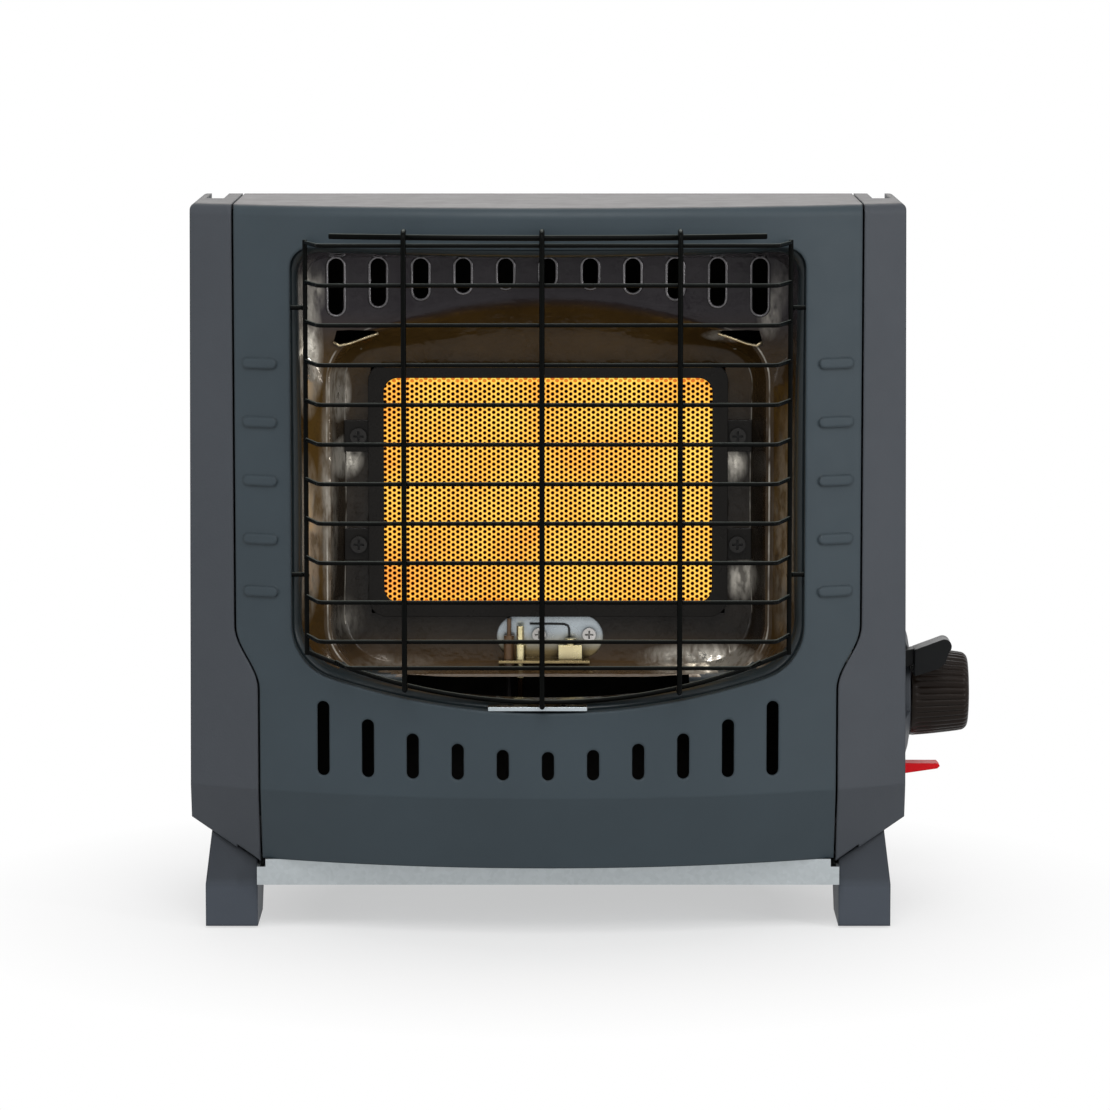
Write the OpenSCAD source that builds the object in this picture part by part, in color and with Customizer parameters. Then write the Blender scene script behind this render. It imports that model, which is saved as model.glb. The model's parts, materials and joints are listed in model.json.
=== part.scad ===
// Tabletop butane heater with a ceramic plaque burner.
// X = 0 is the body's middle plane, -Y is the front, Z = 0 is the floor. Millimetres.

/* [Body] */
// width of the body at its top
body_w = 271; // [264:1:290]
// height of the body over the floor
body_h = 279; // [277:1:283]
// how much wider each side is at its lower end
body_draft = 1.5; // [0.5:0.1:2.5]
// plan radius of the bowed front
front_r = 286; // [270:1:320]
// how far the front's crown stands ahead of the frame's origin
front_y = 85; // [83:0.5:87]
// height of the crease over the chin
crease_z = 56.5; // [52:0.5:60]
// height of the casing's lower edge
chin_z = 28; // [27:0.5:31]
// how far the chin slants back
chin_back = 11; // [8:0.5:13]
// sheet of the front casing
sheet_t = 1; // [0.8:0.1:1.4]
// wall of the moulded side panels
panel_t = 2.4; // [2:0.1:2.8]
// width of the side panels seen from the front
panel_w = 17; // [14:0.5:18]
// how far the seams run in at their lower end
seam_in = 9; // [7:0.5:10]
// gap of the seams
seam_gap = 0.8; // [0.5:0.1:1.2]
// rear edge of the top
top_y = 17; // [16:0.5:19]

/* [Opening] */
// width of the casing beside the opening
open_side = 21.5; // [19:0.5:26]
// how far the opening's upper edge lies below the top
open_drop = 15.5; // [13:0.5:18]
// lowest point of the opening's lower edge
open_low = 89; // [87:0.5:92]
// radius of the opening's lower edge
open_low_r = 300; // [260:5:360]
// upper corner radius of the opening
open_rt = 8; // [5:0.5:12]
// lower corner radius of the opening
open_rb = 20; // [14:0.5:26]
// depth of the opening's turned lip behind the front face
lip_d = 6; // [4:0.5:8]
// number of lower vent slots
vent_n = 11; // [7:2:13]
// pitch of the lower vent slots
vent_p = 17; // [14:0.5:17]
// width of a lower vent slot
vent_w = 4.6; // [3:0.2:6]
// lower end of the vent slots
vent_z = 63.5; // [62:0.5:66]
// length of the middle vent slot
vent_len = 11; // [8:0.5:12]
// how much longer the outermost slots are
vent_grow = 17.5; // [12:0.5:18]
// length of an embossed pill on the front
pill_l = 13.2; // [9:0.2:14]
// height of an embossed pill
pill_h = 3.8; // [3:0.1:5]

/* [Guard] */
// radius of the horizontal guard wires
guard_r = 0.8; // [0.6:0.05:1]
// radius of the upright guard wires
upright_r = 1; // [0.8:0.05:1.2]
// how far the wires stand ahead of the front's crown
guard_out = 7; // [5:0.5:9]
// number of long horizontal wires
guard_n = 11; // [8:1:13]
// how far the top wire lies over the opening's upper edge
guard_over = 2; // [0:0.5:3]
// height of the lowest long wire
guard_low = 117.3; // [116:0.5:122]
// how far the wires' bends lie inside the opening's sides
guard_in = 11.6; // [10:0.2:16]
// length of the legs that run back to the side wires
guard_leg = 20; // [18:0.5:21]
// radius of the bowed rail over the top wire
rail_r = 1.1; // [0.9:0.05:1.3]
// pitch of the uprights
upright_p = 51.4; // [40:0.2:55]
// sideways place of the middle upright
upright_off = -2.2; // [-4:0.2:4]

/* [Reflector] */
// reflector sheet
refl_t = 0.8; // [0.6:0.1:1]
// depth of the reflector's ledge behind the front's crown
ledge_d = 39; // [37:0.5:42]
// depth of the bowl behind the ledge
bowl_d = 13.2; // [12:0.2:14]
// width of the ledge beside the bowl
ledge_w = 13.5; // [11:0.5:17]
// width of the ledge over the bowl's crown
ledge_h = 20.5; // [19:0.5:25]
// lower edge of the bowl
bowl_low = 98; // [97:0.5:98.5]
// radius of the bowl's arched upper edge
bowl_arc = 190; // [170:5:240]
// corner radius of the bowl
bowl_r = 20; // [14:0.5:26]
// distance of the outermost slots from the opening's sides
slot_side = 16.5; // [15:0.5:20]
// width of a reflector slot
slot_w = 5.7; // [4:0.1:7]

/* [Burner] */
// gap between the plaque and the bowl's sides
plaque_side = 17.5; // [16.5:0.5:20]
// gap between the plaque and the bowl's crown
plaque_drop = 28.7; // [27:0.1:33]
// thickness of the ceramic plaque
plaque_t = 13; // [12:0.5:13.5]
// gap between the plaque and the bowl's lower edge
plaque_rise = 24.3; // [23.5:0.1:26]
// how far the frame's lip covers the plaque's sides
lip_w = 3.2; // [2.5:0.1:5]
// how far the frame's lip covers the plaque's ends
lip_h = 2.8; // [2.5:0.1:5]
// outer radius of the mixing tube
venturi_r = 9; // [7:0.5:9.5]
// radius of the gas pipe
pipe_r = 3; // [2.5:0.1:3.4]
// radius of the pipe's bends
pipe_bend = 9; // [7:0.5:9.5]

/* [Cartridge bay] */
// distance of the cartridge's axis behind the origin
cart_y = 55; // [54:0.5:56]
// height of the cartridge's axis
cart_z = 77; // [76:0.5:78]
// outer radius of the bay's lid
bay_r = 41; // [40:0.25:42]
// wall of the lid
lid_t = 2.2; // [1.8:0.1:2.4]
// radius of the lid's hinge pin
lid_pin_r = 1.5; // [1.2:0.1:1.8]
// running clearance of every pin
pin_gap = 0.06; // [0.03:0.01:0.09]

/* [Controls] */
// radius of the knob at its foot
knob_r = 17.7; // [16.8:0.1:18.8]
// radius of the knob at its tip
knob_tip_r = 16; // [13:0.1:16.2]
// length of the knob
knob_l = 23; // [16:0.5:26]
// number of the knob's ribs
knob_n = 30; // [16:2:36]
// height of the control boss over the panel
boss_h = 8.5; // [7.5:0.5:12]
// radius of the control boss
boss_r = 36; // [35:0.5:37]
// radius of the valve spindle
spindle_r = 4; // [3:0.1:4.5]
// radius of the governor's cover that carries the levers
cover_r = 17; // [15:0.1:17.4]
// length of the safety tab outside the panel
tab_l = 21; // [15:0.5:25]

/* [Handle] */
// radius of the handle's wire
handle_r = 2.5; // [2:0.1:2.8]
// length of the handle's arms
handle_l = 40; // [39:0.5:48]
// radius of the handle's bends
handle_bend = 7; // [5:0.5:8]
// radius of the handle's grip
grip_r = 6; // [4.5:0.1:6.2]

/* [Stand] */
// width of a foot
foot_w = 20; // [18:0.5:22]
// how far the feet's inner faces lie inside the body's sides
foot_in = 23.8; // [22:0.1:24.5]
// radius of a rubber pad
pad_r = 7; // [5:0.5:8]
// lower face of the base pan
pan_z = 18; // [16:0.5:20]

/* [Hidden] */
$fn = 96;
e = 0.01;

hw = body_w / 2;
seam_x = hw - panel_w;
seam_low_x = seam_x - seam_in;
foot_x = hw - foot_in;
open_x = seam_x - open_side;
open_top = body_h - open_drop;
guard_top = open_top + guard_over;
guard_x = open_x - guard_in;
bowl_x = open_x - ledge_w;
bowl_top = open_top - ledge_h;
slot_p = (open_x - slot_side) / 5;
plaque_w = 2 * (bowl_x - plaque_side);
plaque_low = bowl_low + plaque_rise;
plaque_h = bowl_top - plaque_drop - plaque_low;
plaque_z = plaque_low + plaque_h / 2;
window_w = plaque_w - 2 * lip_w;
window_h = plaque_h - 2 * lip_h;
low_hw = hw + body_draft;
hem_out = 42.9;
front_cy = front_r - front_y;
open_cz = open_low + open_low_r;
corner_x = open_x - open_rb;
corner_z = open_cz - sqrt(pow(open_low_r - open_rb, 2) - pow(corner_x, 2));
top_corner_z = open_top - open_rt;

// planes across the depth
lip_r = front_r - lip_d;
ledge_y = -front_y + ledge_d;
back_y = ledge_y + bowl_d;
lug_t = 1;
lug_l = 12;
frame_y = back_y - 5.2;
plaque_back = frame_y + 1 + plaque_t;
gasket_t = 1.5;
tray_back = 2;
shield_y = 9;
wall_y = top_y - 2;
guard_y = -front_y - guard_out;
leg_dir = [0.28, 0.96];
side_x = guard_x + guard_leg * leg_dir[0];
side_y = guard_y + guard_leg * leg_dir[1];

// plane of the bay and controls
rear_y = cart_y + bay_r;
bay_top = cart_z + bay_r;
hinge_y = rear_y - 4.5;
hinge_z = cart_z - 17;
trough_z = 33;
bay_x = seam_x - 1;
panel_in = hw - panel_t;
boss_x = hw + boss_h + 0.5;

// shared shapes

// a cylinder along X from x0 to x1
module rod_x(r, x0, x1) {
    translate([x0, 0, 0]) rotate([0, 90, 0]) cylinder(r = r, h = x1 - x0);
}

// a cylinder along Y from y0 to y1
module rod_y(r, y0, y1) {
    translate([0, y1, 0]) rotate([90, 0, 0]) cylinder(r = r, h = y1 - y0);
}

// a front-view outline (x, z) pulled along Y from y0 to y1
module front_plate(y0, y1) {
    translate([0, y1, 0]) rotate([90, 0, 0]) linear_extrude(y1 - y0) children();
}

// a side-view outline (y, z) pulled along X from x0 to x1
module side_plate(x0, x1) {
    translate([x0, 0, 0]) rotate([90, 0, 90]) linear_extrude(x1 - x0) children();
}

module box(a, b) {
    translate(a) cube(b - a);
}

// an upright pill between heights z0 and z1
module pill(w, z0, z1) {
    translate([-w / 2, z0 + w / 2]) square([w, z1 - z0 - w]);
    translate([0, z0 + w / 2]) circle(w / 2);
    translate([0, z1 - w / 2]) circle(w / 2);
}

module round_rect(w, h, r) {
    translate([-w / 2 + r, -h / 2]) square([w - 2 * r, h]);
    translate([-w / 2, -h / 2 + r]) square([w, h - 2 * r]);
    for (i = [-1, 1], j = [-1, 1]) translate([i * (w / 2 - r), j * (h / 2 - r)]) circle(r);
}

// points of an arc about c from angle a0 to a1 in n steps
function arc_pts(c, r, a0, a1, n) = [for (i = [0:n]) c + r * [cos(a0 + (a1 - a0) * i / n), sin(a0 + (a1 - a0) * i / n)]];

// the opening in the front, grown by o
open_turn = atan2(open_cz - corner_z, corner_x);
module opening2d(o) {
    top_x = open_x - open_rt;
    polygon(concat(arc_pts([top_x, top_corner_z], open_rt + o, 0, 90, 6),
        arc_pts([-top_x, top_corner_z], open_rt + o, 90, 180, 6),
        arc_pts([-corner_x, corner_z], open_rb + o, 180, 180 + open_turn, 9),
        arc_pts([0, open_cz], open_low_r + o, 181 + open_turn, 359 - open_turn, 24),
        arc_pts([corner_x, corner_z], open_rb + o, 360 - open_turn, 360, 9)));
}

bowl_cz = bowl_top - bowl_arc;
bowl_kx = bowl_x - bowl_r;
bowl_kz = bowl_cz + sqrt(pow(bowl_arc - bowl_r, 2) - pow(bowl_kx, 2));
bowl_turn = atan2(bowl_kz - bowl_cz, bowl_kx);

// the bowl's outline, grown by o
module bowl2d(o) {
    low_z = bowl_low + bowl_r;
    polygon(concat(arc_pts([bowl_kx, bowl_kz], bowl_r + o, 0, bowl_turn, 9),
        arc_pts([0, bowl_cz], bowl_arc + o, bowl_turn + 1, 179 - bowl_turn, 24),
        arc_pts([-bowl_kx, bowl_kz], bowl_r + o, 180 - bowl_turn, 180, 9),
        arc_pts([-bowl_kx, low_z], bowl_r + o, 180, 270, 9),
        arc_pts([bowl_kx, low_z], bowl_r + o, 270, 360, 9)));
}

// the body's bowed front and flat top as one solid, shrunk by o
module front_solid(o) {
    translate([0, front_cy, 0]) rotate_extrude() {
        polygon([[0, chin_z - 10 + o], [front_r - chin_back - o, chin_z - 10 + o], [front_r - chin_back - o, chin_z],
            [front_r - o, crease_z], [front_r - o, body_h - 4], [front_r - 4, body_h - 4],
            [front_r - 4, body_h - o], [0, body_h - o]]);
        translate([front_r - 4, body_h - 4]) circle(4 - o);
    }
}

// height of the panels' slanted lower edge at x
hem_x = seam_low_x + seam_gap + 0.3;
function hem_at(x) = 26 + (x - hem_x) * (hem_out - 26) / (low_hw - hem_x);

// edge of the seam at height z
function seam_at(z) =
    z > 119 ? seam_x :
    z < 95 ? seam_low_x :
    seam_low_x + (seam_x - seam_low_x) * (1 - cos(180 * (z - 95) / 24)) / 2;
seam_steps = [for (i = [0:12]) 95 + 2 * i];

// front view of the casing between its seams
module casing2d() {
    polygon(concat([[-seam_x, body_h + 1]], [for (i = [12:-1:0]) [-seam_at(seam_steps[i]), seam_steps[i]]],
        [[-seam_low_x, chin_z], [seam_low_x, chin_z]],
        [for (i = [0:12]) [seam_at(seam_steps[i]), seam_steps[i]]], [[seam_x, body_h + 1]]));
}

module front_casing() {
    color("#3d464a") {
        difference() {
            union() {
                intersection() {
                    difference() {
                        front_solid(0);
                        front_solid(sheet_t);
                    }
                    front_plate(-front_y - 1, top_y) casing2d();
                }
                intersection() {
                    difference() {
                        translate([0, front_cy, 0]) cylinder(r = front_r - sheet_t / 2, h = body_h - 4);
                        translate([0, front_cy, 0]) cylinder(r = lip_r, h = body_h - 4);
                    }
                    front_plate(-front_y, -50) difference() {
                        opening2d(sheet_t);
                        opening2d(0);
                    }
                }
                intersection() {
                    difference() {
                        translate([0, front_cy, 0]) cylinder(r = front_r + 1, h = body_h);
                        translate([0, front_cy, 0]) cylinder(r = front_r - sheet_t / 2, h = body_h);
                    }
                    front_plate(-front_y - 2, -50) casing_pills();
                }
                intersection() {
                    translate([0, front_cy, chin_z]) cylinder(r = front_r - chin_back - sheet_t / 2, h = sheet_t);
                    box([-seam_low_x, -front_y, chin_z], [seam_low_x, -52, chin_z + sheet_t]);
                }
            }
            front_plate(-front_y - 1, -50) opening2d(0);
            front_plate(-front_y - 1, -50) casing_vents();
        }
    }
}

module casing_pills() {
    for (s = [-1, 1], i = [0:4])
        translate([s * (open_x + seam_x + 2.3) / 2, 219.4 - 22.2 * i + (i == 4 ? 2.2 : 0)])
            rotate(90) pill(pill_h, -pill_l / 2, pill_l / 2);
}

module casing_vents() {
    half = (vent_n - 1) / 2;
    for (i = [-half:half])
        translate([i * vent_p, 0]) pill(vent_w, vent_z, vent_z + vent_len + vent_grow * pow(abs(i) / half, 2));
}

// front view of the right panel's body beside the seam, shrunk by o on its outer edges
module panel2d(o) {
    rc = 2.5;
    x0 = seam_x + seam_gap;
    low_at = hem_at(x0);
    polygon([[x0 - (o > 0 ? 20 : 0), body_h - o], [hw - rc, body_h - o], [hw - rc, body_h - rc],
        [hw - o, body_h - rc], [low_hw - o, hem_out + o / 2], [x0 - (o > 0 ? 20 : 0), low_at + 1.3 * o - (o > 0 ? 14.5 : 0)]]);
    translate([hw - rc, body_h - rc]) circle(rc - o);
}

// side view of the panels, shrunk by o
module panel_side2d(o) {
    translate([-front_y - 5, 20]) square([front_y + 5 + top_y - o, body_h - 20]);
    translate([-front_y - 5, 20]) square([front_y + 5 + cart_y, bay_top - o - 20]);
    translate([-front_y - 5, 20]) square([front_y + 5 + rear_y - o, cart_z - 20]);
    translate([cart_y, cart_z]) circle(bay_r - o);
}

// the toe of the right panel that runs in beside the vents
module panel_toe2d() {
    polygon(concat([for (i = [0:12]) [seam_at(seam_steps[i]) + seam_gap, seam_steps[i]]],
        [[seam_x + seam_gap + 1, 119], [seam_x + seam_gap + 1, 33.5], [seam_low_x + seam_gap, 26.8]]));
}

arm_x = hw - 7.5;
pivot_y = -13;
pivot_z = body_h - 7;

module panel_shell() {
    difference() {
        union() {
            difference() {
                intersection() {
                    front_plate(-front_y - 4, rear_y + 1) panel2d(0);
                    side_plate(seam_low_x - 9.5, hw + 15) panel_side2d(0);
                    front_solid(0);
                }
                intersection() {
                    front_plate(-front_y - 4, rear_y + 1) panel2d(panel_t);
                    side_plate(seam_low_x - 19.5, hw + 15) panel_side2d(panel_t);
                    front_solid(panel_t);
                }
            }
            intersection() {
                front_plate(-front_y - 4, -40) panel_toe2d();
                difference() {
                    front_solid(0);
                    front_solid(panel_t);
                }
            }
            box([seam_x + seam_gap, pivot_y - 8, pivot_z - 10], [hw - 1, top_y, body_h - 0.5]);
        }
        box([arm_x - 3.4, pivot_y - 4, pivot_z - 4], [arm_x + 3.4, top_y + 1, body_h + 1]);
        translate([0, pivot_y, pivot_z]) rod_x(handle_r + pin_gap, seam_x - 10, arm_x);
    }
}

module left_side_panel() {
    color("#464b50") mirror([1, 0, 0]) panel_shell();
}

// an annular sector in the (y, z) plane about the valve's axis
module sector2d(r0, r1, a0, a1) {
    difference() {
        circle(r1);
        circle(r0);
        polygon([[0, 0], 80 * [cos(a1), sin(a1)], 80 * [cos((a0 + a1) / 2 + 120), sin((a0 + a1) / 2 + 120)],
            80 * [cos((a0 + a1) / 2 + 240), sin((a0 + a1) / 2 + 240)], 80 * [cos(a0), sin(a0)]]);
    }
}

lever_turn = 40;
tab_turn = 25;

// section of the control boss, r across and x up, shrunk by o
module boss2d(o) {
    polygon([[0, hw - 6], [boss_r - o, hw - 6], [boss_r - o, hw + 2.5 - o / 3], [boss_r - 3 - o / 2, boss_x - 5.5 - o / 2],
        [boss_r - 6 - o / 2, boss_x - 2.6 - o], [boss_r - 13, boss_x - 0.5 - o], [20, boss_x - o], [0, boss_x - o]]);
}

module valve_axis() {
    translate([0, cart_y, cart_z]) children();
}

// turns a solid of revolution about Z into one about X
module about_x() {
    rotate([90, 0, 90]) children();
}

module right_side_panel() {
    color("#464b50") difference() {
        union() {
            difference() {
                panel_shell();
                valve_axis() rod_x(boss_r - 1, panel_in - 6, hw + 10);
            }
            intersection() {
                valve_axis() about_x() difference() {
                    rotate_extrude() boss2d(0);
                    rotate_extrude() boss2d(panel_t);
                }
                box([panel_in + 0.5, 0, 0], [hw + 65, 100, 200]);
            }
        }
        valve_axis() rod_x(spindle_r + 2, hw - 8, boss_x + 1);
        valve_axis() side_plate(panel_in - 4, boss_x + 1) sector2d(21.4, 32.2, 129, 153 + lever_turn);
        valve_axis() side_plate(panel_in - 4, boss_x + 1) sector2d(26.5, 34, 259, 281 + tab_turn);
    }
}

module base_pan() {
    color("#a9b4b8") difference() {
        union() {
            box([-foot_x + 0.1, -54, pan_z], [foot_x - 0.1, 90, 25]);
            box([-seam_low_x + 1.2, -54, pan_z], [seam_low_x - 1.2, -53, chin_z]);
            box([-seam_low_x + 4.5, 89, pan_z], [seam_low_x - 4.5, 90, trough_z]);
        }
        box([-foot_x + 1.1, -53, pan_z + 1], [foot_x - 1.1, 89, 40]);
    }
}

module foot_body() {
    low_at = hem_at(foot_x);
    out_x = foot_x + foot_w - 2.5;
    out_at = hem_at(out_x);
    difference() {
        front_plate(-48, 84) polygon([[foot_x, 0.8], [foot_x + foot_w, 0.8], [foot_x + foot_w, 17],
            [out_x, out_at - 0.05], [foot_x, low_at - 0.05]]);
        side_plate(foot_x - 1, foot_x + foot_w + 1) polygon([[-14, 0], [-2, 13], [38, 13], [50, 0]]);
        side_plate(foot_x - 1, foot_x + foot_w + 1) polygon([[-49, 17], [-48, 17], [-44, 46], [-49, 46]]);
        for (y = [-32, 68]) translate([foot_x + foot_w / 2, y, 0]) cylinder(r = pad_r + 0.1, h = 3);
    }
}

module right_foot() {
    color("#464b55") foot_body();
}

module left_foot() {
    color("#464b55") mirror([1, 0, 0]) foot_body();
}

module foot_pads() {
    color("#1c1d1f") for (s = [-1, 1], y = [-32, 68])
        translate([s * (foot_x + foot_w / 2), y, 0]) cylinder(r = pad_r, h = 3);
}

// a wire of radius r bent in the XY plane along pts, with one bend radius for each inner point
function unit2(v) = v / norm(v);
function turn2(a, b) = atan2(a[0] * b[1] - a[1] * b[0], a * b);
module bent_wire(pts, r, bends) {
    n = len(pts);
    dirs = [for (i = [0:n - 2]) unit2(pts[i + 1] - pts[i])];
    turns = [for (i = [0:n - 1]) i == 0 || i == n - 1 ? 0 : turn2(dirs[i - 1], dirs[i])];
    cuts = [for (i = [0:n - 1]) i == 0 || i == n - 1 ? 0 : bends[i - 1] * tan(abs(turns[i]) / 2)];
    for (i = [0:n - 2]) {
        a = pts[i] + dirs[i] * cuts[i];
        b = pts[i + 1] - dirs[i] * cuts[i + 1];
        translate([a[0], a[1], 0]) rotate([0, 90, atan2(dirs[i][1], dirs[i][0])]) cylinder(r = r, h = norm(b - a));
    }
    for (i = [1:1:n - 2]) {
        side = turns[i] > 0 ? 1 : -1;
        heading = atan2(dirs[i - 1][1], dirs[i - 1][0]);
        c = pts[i] - dirs[i - 1] * cuts[i] + bends[i - 1] * side * [-dirs[i - 1][1], dirs[i - 1][0]];
        translate([c[0], c[1], 0]) rotate(side > 0 ? heading - 90 : heading + 90 - abs(turns[i]))
            rotate_extrude(angle = abs(turns[i])) translate([bends[i - 1], 0]) circle(r, $fn = 32);
    }
}

pin_x = bay_x - 13.5;
knuckles = [[-pin_x, -pin_x + 10], [pin_x - 10, pin_x]];
lid_knuckles = [[-pin_x + 10.5, -pin_x + 30], [-20, 20], [pin_x - 30, pin_x - 10.5]];
pipe_x = hw - 31;
lead_x = pipe_x - 1;
igniter_x = pipe_x - 14;
pipe_z = 111;
tube_y = -8;

// side view of the bay's inside, under the lid by o
module bay2d(o) {
    translate([top_y, trough_z]) square([cart_y - top_y, bay_top - lid_t - o - trough_z]);
    translate([top_y, trough_z]) square([rear_y - 3 - top_y, hinge_z - 8 - trough_z]);
    intersection() {
        translate([cart_y, cart_z]) circle(bay_r - lid_t - o);
        translate([cart_y - 1, hinge_z - 9]) square(60);
    }
}

module rear_housing() {
    color("#3b3f43") difference() {
        union() {
            box([-bay_x, wall_y, trough_z], [bay_x, top_y, body_h - sheet_t]);
            box([-bay_x, top_y - e, trough_z], [bay_x, rear_y, trough_z + 2]);
            box([-bay_x, rear_y - 2.2, trough_z], [bay_x, rear_y, hinge_z - 7]);
            side_plate(bay_x - 2, bay_x) bay2d(0.6);
            for (k = knuckles) {
                translate([0, hinge_y, hinge_z]) rod_x(4, k[0], k[1]);
                box([k[0], hinge_y - 3, trough_z + 1], [k[1], rear_y - 2, hinge_z]);
            }
        }
        translate([0, hinge_y, hinge_z]) rod_x(lid_pin_r + 0.02, -pin_x - 6, pin_x + 6);
        for (i = [0:7]) front_plate(wall_y - 1, top_y + 1) for (s = [-1, 1])
            translate([s * 48, 150 + 13 * i]) rotate(90) pill(4.5, -34, 34);
        translate([pipe_x, 0, pipe_z]) rod_y(pipe_r + 1, wall_y - 1, top_y + 1);
        translate([igniter_x, 0, 48]) rod_y(2, wall_y - 1, top_y + 1);
        translate([lead_x, 0, 40]) rod_y(2.2, wall_y - 1, top_y + 1);
        valve_axis() rod_x(25, bay_x - 3, bay_x + 1);
        box([bay_x - 3, 21, trough_z + 2], [bay_x + 1, 31, trough_z + 5]);
        for (s = [-1, 1], z = [135, body_h - 17]) translate([s * (bay_x - 9.5), 0, z]) rod_y(1.65, wall_y - 1, top_y + 1);
    }
}

module rear_screws() {
    color("#8d9296") for (s = [-1, 1], z = [135, body_h - 17]) translate([s * (bay_x - 9.5), 0, z]) difference() {
        union() {
            rod_y(3.2, top_y, top_y + 2);
            rod_y(1.6, wall_y - 2, top_y + 0.5);
        }
        box([-2, top_y + 1, -0.4], [2, top_y + 3, 0.4]);
        box([-0.4, top_y + 1, -2], [0.4, top_y + 3, 2]);
    }
}

module cartridge_lid() {
    color("#41464a") difference() {
        union() {
            side_plate(-bay_x + 0.5, bay_x - 0.5) {
                translate([top_y + 0.6, bay_top - lid_t]) square([cart_y - top_y - 0.6, lid_t]);
                intersection() {
                    difference() {
                        translate([cart_y, cart_z]) circle(bay_r);
                        translate([cart_y, cart_z]) circle(bay_r - lid_t);
                    }
                    translate([cart_y, cart_z]) square(60);
                }
                translate([rear_y - lid_t, hinge_z + 4.6]) square([lid_t, cart_z - hinge_z - 4.6]);
            }
            for (k = lid_knuckles) {
                translate([0, hinge_y, hinge_z]) rod_x(4, k[0], k[1]);
                box([k[0], hinge_y, hinge_z], [k[1], rear_y - 0.4, hinge_z + 6]);
            }
            for (s = [-1, 1]) for (i = [0:2])
                box([s * 60 - 14, top_y + 8 + 7 * i, bay_top - e], [s * 60 + 14, top_y + 11 + 7 * i, bay_top + 0.8]);
        }
        translate([0, hinge_y, hinge_z]) rod_x(lid_pin_r + pin_gap, -pin_x - 6, pin_x + 6);
    }
}

module lid_hinge_pin() {
    color("#b9bdc0") translate([0, hinge_y, hinge_z]) rod_x(lid_pin_r, -pin_x, pin_x);
}

module carry_handle() {
    x0 = seam_x + seam_gap + 1.2;
    color("#7d8286") translate([0, 0, pivot_z]) bent_wire([[-x0, pivot_y], [-arm_x, pivot_y],
        [-arm_x, pivot_y + handle_l], [arm_x, pivot_y + handle_l], [arm_x, pivot_y], [x0, pivot_y]],
        handle_r, [3, handle_bend, handle_bend, 3]);
}

module handle_grip() {
    color("#26282a") translate([0, pivot_y + handle_l, pivot_z]) difference() {
        union() {
            rod_x(grip_r, -45, 45);
            for (i = [-5:5]) rod_x(grip_r + 0.3, i * 8 - 1.2, i * 8 + 1.2);
        }
        rod_x(handle_r + 0.02, -50, 50);
    }
}

// welded guard
rail_z = guard_top + 2.8;
weld = 0.1;
side_r = 0.9;
upright_y = guard_y - guard_r - upright_r - weld;
arc_x = guard_x - 0.4;
arc_mid = [-front_y + 6, open_low + 3.5];
arc_end = [side_y - 0.6, open_low + 19.5];
rail_R = 300;
rail_y = upright_y + upright_r + weld + rail_r + 0.3;
hook_z = rail_z + rail_r + upright_r + weld;
stub_y = -65;
arc_s = norm(arc_end - arc_mid);
arc_R = (arc_x * arc_x + arc_s * arc_s) / (2 * arc_s);
arc_tilt = atan2(arc_end[1] - arc_mid[1], arc_end[0] - arc_mid[0]);
function arc_at(x) = arc_mid + (arc_R - sqrt(arc_R * arc_R - x * x)) / arc_s * (arc_end - arc_mid);

// a wire with a straight part of half length x and two legs of length l
module guard_bar(x, l, z) {
    leg = leg_dir * l;
    translate([0, 0, z]) bent_wire([[-x - leg[0], guard_y + leg[1]], [-x, guard_y], [x, guard_y],
        [x + leg[0], guard_y + leg[1]]], guard_r, [3, 3]);
}

// the guard's long and short horizontal wires
module guard_bars() {
    step = (guard_top - guard_low) / (guard_n - 1);
    color("#17181a") {
        for (i = [0:guard_n - 1]) guard_bar(guard_x, guard_leg - side_r - weld, guard_low + step * i);
        guard_bar(guard_x - 10.4, guard_leg - 3.1, arc_at(guard_x - 3.4)[1]);
    }
}

// the guard's upright wires
module guard_uprights() {
    color("#17181a") for (i = [-1, 0, 1]) {
        x = upright_off + i * upright_p;
        foot = [for (v = arc_at(abs(x) + upright_r)) round(v * 50) / 50];
        translate([x, 0, 0]) rotate([90, 0, 90]) bent_wire([[foot[0] - side_r - 0.7, foot[1]], [upright_y, foot[1]],
            [upright_y, hook_z], [upright_y + 7.4, hook_z]], upright_r, [3, 3]);
    }
}

// the guard's side wires, their stubs and the bowed lower wire
module guard_frame() {
    half = asin((side_x - 0.5) / arc_R);
    low = arc_at(side_x - 0.5)[1] - 1;
    bow = asin((guard_x - 3.9) / rail_R);
    color("#17181a") {
        for (s = [-1, 1]) {
            translate([s * side_x, side_y, low]) cylinder(r = side_r, h = guard_top + 1 - low);
            for (z = [guard_low + 22, guard_top - 25]) translate([0, 0, z]) bent_wire([[s * side_x, side_y + side_r + weld],
                [s * side_x, stub_y], [s * (open_x - 0.05), stub_y]], side_r, [2.5]);
        }
        translate([0, arc_mid[0], arc_mid[1]]) rotate([arc_tilt, 0, 0]) translate([0, arc_R, 0])
            rotate(-90 - half) rotate_extrude(angle = 2 * half) translate([arc_R, 0]) circle(side_r, $fn = 32);
        translate([0, rail_y + rail_R, rail_z]) rotate(-90 - bow) rotate_extrude(angle = 2 * bow)
            translate([rail_R, 0]) circle(rail_r, $fn = 32);
    }
}

module guard_clip() {
    color("#c9ced2") difference() {
        box([-22.5, -84.5, open_low + 0.95], [14.7, -75, open_low + 2.45]);
        for (x = [-14, 6]) translate([x, -79.5, 80]) cylinder(r = 1.4, h = 20);
    }
}

screw_x = plaque_w / 2 + 6.6;
screw_z = [plaque_z - 21, plaque_z + 20.7];
front_back = back_y - refl_t;
cut_mid = [0.9, plaque_low - 12.5];
pilot_z = plaque_low - 19.3;
spark = [-15, front_back - 2.2];
probe = [-10.7, front_back - 5];

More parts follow.
